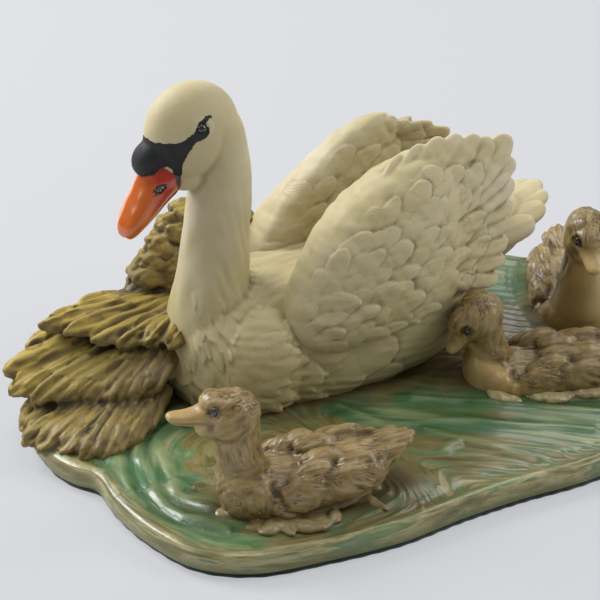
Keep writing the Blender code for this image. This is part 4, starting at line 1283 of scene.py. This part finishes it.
def addLeaf(index, root, tip, width, thickness, droop, taper):
    # a long folded leaf with a few sharp ridges along it
    along, flat, up = leafFrame(root, tip)
    length = np.linalg.norm(tip - root)
    stations = []
    for share in np.linspace(0, 1, 9):
        wide = width / 2 * math.sin(math.pi * (0.16 + taper * share)) ** 0.5
        closing = 1 if 0 < share < 1 else 0.3
        hang = -droop * length * share**3
        stations.append((length * share, 0, hang, wide * closing, thickness / 2 * closing))
    shift = np.random.default_rng(80 + index).random() * 6

    def folds(share, across):
        bent = across + 0.10 * np.sin(share * 5 + shift)
        middle = 1.5 * (1 - np.abs(bent) ** 1.3)
        fine = 1 - np.abs(np.sin(bent * 4.4 + shift)) ** 0.8
        return (middle + 1.1 * fine * smoothStep(share, 0.1, 0.4) - 0.6) * mm

    def ragged(share, across):
        return -1.6 * np.abs(np.sin(across * 3.1 + shift)) * mm * smoothStep(share, 0.6, 0.95)

    origin = np.array(root) * mm + np.array((0, 0, water))
    return addLoft(stations, along, flat, up, origin, 0.9, 56, 48, folds, ragged)


def ochreOf(points, leaves):
    # share of ochre paint, from the leaf that each place lies nearest to
    best = np.full(len(points), 1e9)
    share = np.zeros(len(points))
    for root, tip, width, *_, ochre in leaves:
        run = tip - root
        offset = points / mm - root - (0, 0, water / mm)
        along = np.clip(offset @ run / (run @ run), 0, 1)
        reach = np.linalg.norm(offset - along[:, None] * run, axis=1) / width
        near = reach < best
        best[near] = reach[near]
        share[near] = ochre * (0.5 + 0.5 * along[near])
    return share


def makePlants():
    leaves = fanLeaves()
    parts = [addLeaf(k, *leaf[:6]) for k, leaf in enumerate(leaves)]
    parts += [
        addBall((x * mm, y * mm, water + z * mm), inMm(half)) for (x, y, z), half in plants["mounds"]
    ]
    for part in parts:
        points = getPoints(part)
        points[:, 2] = np.maximum(points[:, 2], castingLow.z + 0.4 * mm)
        setPoints(part, points)
    piece = fuse(joinAs("waterPlants", parts), plants["voxel"], 2, 0.4)
    points = getPoints(piece)
    forms = []
    for root, tip, width, *_ in leaves:
        for share in (0.3, 0.6, 0.9):
            middle = root + (tip - root) * share + (0, 0, water / mm)
            forms.append((middle, (width * 0.55,) * 3, leafFrame(root, tip)[0]))
    grain = grainOf(points, forms)
    carve(piece, strands(grain, 62, 2.4) * 0.30 * mm + waves3(points, 63, 11 * mm) * 0.40 * mm)
    points = getPoints(piece)
    points[:, 2] = np.maximum(points[:, 2], castingLow.z)
    setPoints(piece, points)
    keepVector(piece, "grain", grain)
    markRelief(piece, 0.5 * mm, 20)
    # painted shade for the deep gaps between the leaves: how far a place lies under a broad smoothing of the
    # skin
    deepShade = ((blurred(piece, points, 110) - points) * getNormals(piece)).sum(1) / (1.6 * mm)
    keepValue(piece, "deepShade", np.clip(deepShade, 0, 1))
    keepValue(piece, "ochre", blurred(piece, ochreOf(points, leaves), 6))
    dress(piece, "plantPaint")
    print("plants done", len(piece.data.polygons))


makePlants()


# Water and felt

plate = {
    "halfLength": 107.5, "halfWidth": 69.3, "columns": 300, "rows": 200,
    "outline": (  # shares of the half length and width, clockwise from the plants' foot
        (-0.935, -0.010), (-0.942, -0.200), (-0.926, -0.450), (-0.868, -0.720), (-0.738, -0.885),
        (-0.545, -0.955), (-0.330, -0.998), (-0.120, -0.982), (0.080, -0.985), (0.290, -1.005),
        (0.520, -0.965), (0.740, -0.860), (0.900, -0.640), (0.975, -0.340), (1.000, 0.040), (0.985, 0.420),
        (0.900, 0.760), (0.720, 0.960), (0.450, 0.995), (0.150, 0.965), (-0.150, 0.985), (-0.450, 1.000),
        (-0.720, 0.950), (-0.900, 0.780), (-0.985, 0.520), (-1.000, 0.260), (-0.975, 0.100),
    ),
    # out and down from the top's edge to the underside, in mm
    "side": (
        (0.5, 0.2), (0.95, 0.6), (1.25, 1.2), (1.45, 2.2), (1.55, 3.4), (1.5, 4.6), (1.3, 5.6), (1.0, 6.15),
    ),
    "inset": 1.9,  # the top's edge inside the outline
    "feltInset": 1.7, "ring": (-52, -14),  # the middle of the ring of ripples
    "ripplePitch": 8.5, "rippleHeight": 0.55, "crestHeight": 0.8, "crestWidth": 2.0, "greenWidth": 9.0,
    "crests": (  # lines of the waves: rings round the front cygnet and the plants, and the wake
        ((-85, 14), (-94.5, 0), (-98, -17), (-95, -33), (-87, -49), (-77, -58)),
        ((-56, 24.5), (-73, 17), (-85, 1), (-89.5, -16), (-88, -32), (-80, -45)),
        ((-61, 17), (-73, 7), (-81, -8), (-83, -22), (-78, -34)),
        ((-19, -1), (-11.5, -20), (16, -32), (45, -55)), ((6, -10.5), (28, -25.5), (52, -46)),
        ((0.8, -30), (8.5, -43), (18.7, -58)), ((-3.7, -40), (6.5, -38), (13.4, -47), (27, -59)),
        ((66, -30), (84, -34), (98, -22)), ((60, 52), (20, 62), (-20, 60), (-50, 66)),
    ),
    "greens": (0, 1, 2, 3, 4, 7, 8),  # the crests with green water beside them
    # where birds meet the water: middle, half length, half width, heading
    "shores": (
        (0, 28, 59, 27.5, 0), (-50, -41, 29, 12.5, -14.7), (52, -19, 29, 13, -26), (90, 22, 29, 13, 62),
    ),
}


def outlineRadius(angles):
    # distance from the plate's middle to its outline, in mm, towards each angle
    table = np.array(plate["outline"]) * (plate["halfLength"], plate["halfWidth"])
    count = len(table)
    steps = np.arange(0, count, 0.05)
    first = steps.astype(int)
    t = (steps - first)[:, None]
    before, start, end, after = (table[(first + k) % count] for k in (-1, 0, 1, 2))
    curve = 0.5 * (
        2 * start + (end - before) * t + (2 * before - 5 * start + 4 * end - after) * t**2
        + (3 * start - before - 3 * end + after) * t**3
    )
    turns = np.arctan2(curve[:, 1], curve[:, 0])
    order = np.argsort(turns)
    return np.interp(angles, turns[order], np.hypot(curve[order, 0], curve[order, 1]), period=2 * math.pi)


def waterFlow(x, y):
    # along and across the brush strokes and ripples: rings at the front left, a wake elsewhere
    centre = plate["ring"]
    turn = np.arctan2(y - centre[1], (x - centre[0]) * 0.92)
    ring = np.hypot((x - centre[0]) * 0.92, y - centre[1])
    wake = 34 - (0.64 * x + 0.77 * y) * np.where(y < 28, 1, -0.9) + np.where(y < 28, 0, 35)
    along = 0.77 * x - 0.64 * y
    right = smoothStep(x + 0.25 * y, -44, -18)
    across = ring * (1 - right) + wake * right
    return 34 * turn * (1 - right) + along * right, across


def rimFlow(x, y, edge):
    # along and across the brush strokes on the rim
    return np.arctan2(y, x) * 85, -edge


def ripples(x, y, edge):
    # height of the ripples and wave crests, falling to nothing at the rim
    along, across = waterFlow(x, y)
    warp = 1.3 * np.sin(along / 17) + 0.7 * np.sin(along / 7.3 + 1.3) + 0.5 * np.sin(x / 5.1 + y / 6.3)
    strong = 0.55 + 0.45 * np.sin(along / 23 + across / 15)
    crest = np.sin((across + warp) * 2 * math.pi / plate["ripplePitch"])
    high = plate["rippleHeight"] * strong * (1 - np.abs(crest)) ** 1.2
    return (high + plate["crestHeight"] * crestLines(x, y)[0]) * smoothStep(edge, 1.2, 5.0)


def crestLines(x, y):
    # how near a place is to a wave's crest, and how green the water is there
    wobble = 1.2 * np.sin(x / 6.1 + 1.0) + 1.2 * np.sin(y / 5.3)
    crest, green = np.zeros(len(x)), np.zeros(len(x))
    for k, line in enumerate(plate["crests"]):
        away = lineDistance(x + wobble, y - wobble, line)
        crest = np.maximum(crest, hump(away, plate["crestWidth"]))
        if k in plate["greens"]:
            green = np.maximum(green, hump(away, plate["greenWidth"]))
    behind = smoothStep(y, 18, 34) * 0.75
    return crest, np.maximum(green, behind)


def shoreDistance(x, y):
    # how far a place lies from the birds that meet the water, in mm
    nearest = np.full(len(x), 99.0)
    for midX, midY, halfLong, halfWide, heading in plate["shores"]:
        turn = math.radians(heading)
        along = (x - midX) * math.cos(turn) + (y - midY) * math.sin(turn)
        across = -(x - midX) * math.sin(turn) + (y - midY) * math.cos(turn)
        reach = np.hypot(along / halfLong, across / halfWide)
        nearest = np.minimum(nearest, (reach - 1) * halfWide)
    return nearest


def makeWater():
    clearSelection()
    bpy.ops.mesh.primitive_grid_add(x_subdivisions=plate["columns"], y_subdivisions=plate["rows"], size=2)
    piece = bpy.context.active_object
    piece.name = piece.data.name = "waterPlate"
    square = getPoints(piece)
    x = square[:, 0] * np.sqrt(1 - square[:, 1] ** 2 / 2)
    y = square[:, 1] * np.sqrt(1 - square[:, 0] ** 2 / 2)
    reach = np.hypot(x, y)
    radius = outlineRadius(np.arctan2(y, x)) - plate["inset"]
    flat = np.stack((x * radius, y * radius), 1)
    edge = (1 - reach) * radius
    rise = ripples(flat[:, 0], flat[:, 1], edge)
    rise += 0.6 * hump(edge - 1.6, 1.6) - 0.35 * hump(edge - 6.5, 2.2)  # the raised rim and its moat
    shore = shoreDistance(flat[:, 0], flat[:, 1])
    rise += 0.8 * hump(shore, 3.2) - 0.35 * hump(shore - 5.5, 2.5)  # water piled up against the birds
    setPoints(piece, np.column_stack((flat, rise + water / mm)) * mm)
    pick(piece)
    bpy.ops.object.mode_set(mode="EDIT")
    bpy.ops.mesh.select_all(action="DESELECT")
    bpy.ops.mesh.select_mode(type="EDGE")
    bpy.ops.mesh.select_non_manifold()
    out, down = 0.0, 0.0
    for newOut, newDown in plate["side"]:
        grow = 1 + (newOut - out) / 90
        step = (newDown - down) * mm
        bpy.ops.mesh.extrude_edges_move(TRANSFORM_OT_translate={"value": (0, 0, -step)})
        bpy.ops.transform.resize(value=(grow, grow, 1), center_override=(0, 0, 0))
        out, down = newOut, newDown
    bpy.ops.mesh.extrude_edges_move(TRANSFORM_OT_translate={"value": (0, 0, 0)})
    bpy.ops.mesh.merge(type="CENTER")
    bpy.ops.mesh.select_all(action="SELECT")
    bpy.ops.mesh.normals_make_consistent(inside=False)
    bpy.ops.object.mode_set(mode="OBJECT")
    points = getPoints(piece)
    low = points[:, 2] < water - 4.5 * mm
    points[low, 2] = np.maximum(points[low, 2], castingLow.z)
    setPoints(piece, points)
    x, y = points[:, 0] / mm, points[:, 1] / mm
    angles = np.arctan2(y, x)
    edge = outlineRadius(angles) - plate["inset"] - np.hypot(x, y)
    side = points[:, 2] < water - 0.15 * mm
    along, across = waterFlow(x, y)
    keepVector(piece, "flow", np.column_stack((along, across, np.where(side, 40.0, 0.0))))
    around, inward = rimFlow(x, y, edge)
    keepVector(piece, "rimFlow", np.column_stack((around, inward, points[:, 2] / mm)))
    keepValue(piece, "shore", np.exp(-np.maximum(shoreDistance(x, y), 0) / 3.0))
    keepValue(piece, "edge", edge)
    keepValue(piece, "under", smoothStep(water - points[:, 2], 1.5 * mm, 5.0 * mm))
    crest, green = crestLines(x, y)
    keepValue(piece, "crest", crest * ~side)
    keepValue(piece, "green", green)
    markRelief(piece, 0.35 * mm, 10)
    dress(piece, "waterPaint")
    print("water done", len(piece.data.polygons))


def makeFelt():
    clearSelection()
    bpy.ops.mesh.primitive_circle_add(vertices=720, radius=1, fill_type="NGON")
    piece = bpy.context.active_object
    piece.name = piece.data.name = "feltSheet"
    pick(piece)
    bpy.ops.object.mode_set(mode="EDIT")
    bpy.ops.mesh.select_all(action="SELECT")
    bpy.ops.mesh.extrude_region_move(TRANSFORM_OT_translate={"value": (0, 0, 1)})
    bpy.ops.mesh.select_all(action="SELECT")
    bpy.ops.mesh.normals_make_consistent(inside=False)
    bpy.ops.object.mode_set(mode="OBJECT")
    points = getPoints(piece)
    angles = np.arctan2(points[:, 1], points[:, 0])
    radius = (outlineRadius(angles) - plate["feltInset"] + 0.12 * np.sin(angles * 91)) * mm
    points[:, 0], points[:, 1] = np.cos(angles) * radius, np.sin(angles) * radius
    points[:, 2] = np.where(points[:, 2] > 0.5, feltHigh.z, feltLow.z)
    setPoints(piece, points)
    dress(piece, "feltPaint", "felt_pad")


# Small waves curling away from the cygnets

lobes = {
    # paths over the water seen from above, each with its width at the start
    "paths": (
        (((-58.4, -41), (-62.5, -47.3), (-66.2, -50.2), (-69.4, -51.4), (-72.3, -51.2)), 3.4),
        (((-58.4, -41), (-61.5, -47.1), (-61.8, -52), (-60.1, -55.2), (-55.7, -57.4), (-50.2, -56.2)), 3.0),
        (((-61.5, -47), (-64.4, -53.2), (-64.6, -57)), 2.0),
        (((-77.5, -37.5), (-73, -39), (-68.8, -41), (-64, -43)), 2.8),
        (((-50.2, -56.2), (-49.4, -51), (-52, -45)), 2.6),
        (((-42.3, -49), (-38.8, -50.9), (-36.8, -54.5), (-35.2, -59)), 2.4),
        (((39, -24), (41, -30), (46, -33.5), (52, -33)), 3.2),
        (((50, -30), (55, -35), (62, -36), (67, -32)), 3.4),
        (((30, -18), (30, -24), (34, -29)), 2.6),
    ),
    "sheets": (  # low mounds between the ridges: place and half sizes
        ((-55.5, -50.5, -0.6), (6.5, 6.5, 2.6)), ((-69, -46.5, -0.8), (6.5, 3.6, 2.2)),
        ((-38, -47.5, -0.6), (9, 4.5, 2.0)), ((49, -28.5, -0.6), (12, 6, 2.6)),
    ),
    "beads": 16,  # balls along each path, fused afterwards
    "middle": (-53, -30),  # the brush strokes run round this place
    "voxel": 0.42 * mm,
}


def addLobe(path, size):
    # a low rounded ridge along a bent path, thinning to its end
    count = lobes["beads"]
    places = curveThrough(path, np.linspace(0, 1, count))
    parts = []
    for k, (x, y) in enumerate(places):
        share = k / (count - 1)
        thick = size * (0.75 + 0.5 * math.sin(math.pi * share) - 0.45 * share)
        high = thick * (0.55 + 0.15 * share)
        parts.append(addBall((x * mm, y * mm, water + 0.3 * mm), inMm((thick, thick, high)), None, 20, 12))
    return parts


def makeLobes():
    parts = [part for path, size in lobes["paths"] for part in addLobe(path, size)]
    for (x, y, z), half in lobes["sheets"]:
        parts.append(addBall((x * mm, y * mm, water + z * mm), inMm(half), None, 32, 20))
    piece = fuse(joinAs("waveLobes", parts), lobes["voxel"], 3)
    carve(piece, waves3(getPoints(piece), 71, 4 * mm) * 0.25 * mm)
    points = getPoints(piece) / mm
    acrossX, acrossY = points[:, 0] - lobes["middle"][0], points[:, 1] - lobes["middle"][1]
    turn = np.arctan2(acrossY, acrossX) * 20
    reach = np.hypot(acrossX, acrossY)
    keepVector(piece, "flow", np.column_stack((turn, reach, points[:, 2])))
    keepValue(piece, "shore", 0.7 * np.exp(-np.maximum(points[:, 2] - water / mm, 0) / 0.7))
    for name, value in (("edge", 30.0), ("crest", 0), ("green", -0.6), ("under", 0)):
        keepValue(piece, name, value)
    keepVector(piece, "rimFlow", np.zeros((len(points), 3)))
    markRelief(piece, 0.4 * mm, 14)
    dress(piece, "lobePaint")
    print("lobes done", len(piece.data.polygons))


makeWater()
makeFelt()
makeLobes()
print("water, waves and felt done")


# Camera, floor and lamps

view = {  # angles in degrees, lengths in metres, powers in watts
    "azimuth": -30.0, "elevation": 28.0, "distance": 0.65, "angle": 16.5, "target": (-0.0195, 0.0176, 0.037),
    "floorSize": 12, "floorColour": (0.74, 0.745, 0.765),
    "floorSeen": (0.583, 0.597, 0.620), "seenShare": 0.72,
    "skyColour": (0.97, 0.98, 1.0), "skyStrength": 0.20, "skySeen": (0.730, 0.745, 0.768),
    "lampDistance": 1.2, "lampSize": 0.6,
    "lamps": (  # name, azimuth, elevation and power: the light comes from behind the swan, on both sides
        ("backLeftLamp", -150, 40, 13.0), ("leftLamp", -100, 35, 2.6), ("rightLamp", 60, 35, 5.6),
        ("backRightLamp", 130, 40, 2.8), ("topLamp", 0, 88, 2.6),
    ),
}


def wayTo(azimuth, elevation):
    a, e = math.radians(azimuth), math.radians(elevation)
    return Vector((math.sin(a) * math.cos(e), -math.cos(a) * math.cos(e), math.sin(e)))


def placeCamera():
    back = wayTo(view["azimuth"], view["elevation"])
    camera = bpy.data.cameras.new("photoCamera")
    camera.sensor_width = 36
    camera.lens = camera.sensor_width / 2 / math.tan(math.radians(view["angle"]) / 2)
    camera.clip_start = 0.01
    holder = bpy.data.objects.new("photoCamera", camera)
    bpy.context.scene.collection.objects.link(holder)
    holder.location = Vector(view["target"]) + back * view["distance"]
    holder.rotation_euler = (-back).to_track_quat("-Z", "Y").to_euler()
    bpy.context.scene.camera = holder


def makeFloor():
    clearSelection()
    bpy.ops.mesh.primitive_plane_add(size=view["floorSize"])
    floor = bpy.context.active_object
    floor.name = "floor"
    tree = newPaint("floorPaper")
    bare = addNode(tree, "ShaderNodeBsdfDiffuse", {"Color": (*view["floorColour"], 1)})
    seen = addNode(tree, "ShaderNodeEmission", {"Color": (*view["floorSeen"], 1), "Strength": 1.0})
    path = addNode(tree, "ShaderNodeLightPath")
    share = times(tree, path.outputs["Is Camera Ray"], view["seenShare"])
    mixed = addNode(tree, "ShaderNodeMixShader", {0: share, 1: bare.outputs[0], 2: seen.outputs[0]})
    addNode(tree, "ShaderNodeOutputMaterial", {"Surface": mixed.outputs[0]})
    floor.data.materials.append(bpy.data.materials["floorPaper"])


def addLamp(name, azimuth, elevation, power):
    lamp = bpy.data.lights.new(name, "AREA")
    lamp.shape = "DISK"
    lamp.size = view["lampSize"]
    lamp.energy = power
    holder = bpy.data.objects.new(name, lamp)
    bpy.context.scene.collection.objects.link(holder)
    back = wayTo(azimuth, elevation)
    holder.location = back * view["lampDistance"]
    holder.rotation_euler = (-back).to_track_quat("-Z", "Y").to_euler()


def lightScene():
    world = bpy.data.worlds.new("studio")
    bpy.context.scene.world = world
    world.use_nodes = True
    tree = world.node_tree
    tree.nodes.clear()
    seen = addNode(tree, "ShaderNodeLightPath").outputs["Is Camera Ray"]
    sky = {"Color": (*view["skyColour"], 1), "Strength": view["skyStrength"]}
    soft = addNode(tree, "ShaderNodeBackground", sky)
    plain = addNode(tree, "ShaderNodeBackground", {"Color": (*view["skySeen"], 1), "Strength": 1.0})
    mixed = addNode(tree, "ShaderNodeMixShader", {0: seen, 1: soft.outputs[0], 2: plain.outputs[0]})
    addNode(tree, "ShaderNodeOutputWorld", {"Surface": mixed.outputs[0]})
    for lamp in view["lamps"]:
        addLamp(*lamp)
    bpy.context.scene.view_settings.view_transform = "Standard"


placeCamera()
makeFloor()
lightScene()

print("camera, floor and lamps set")
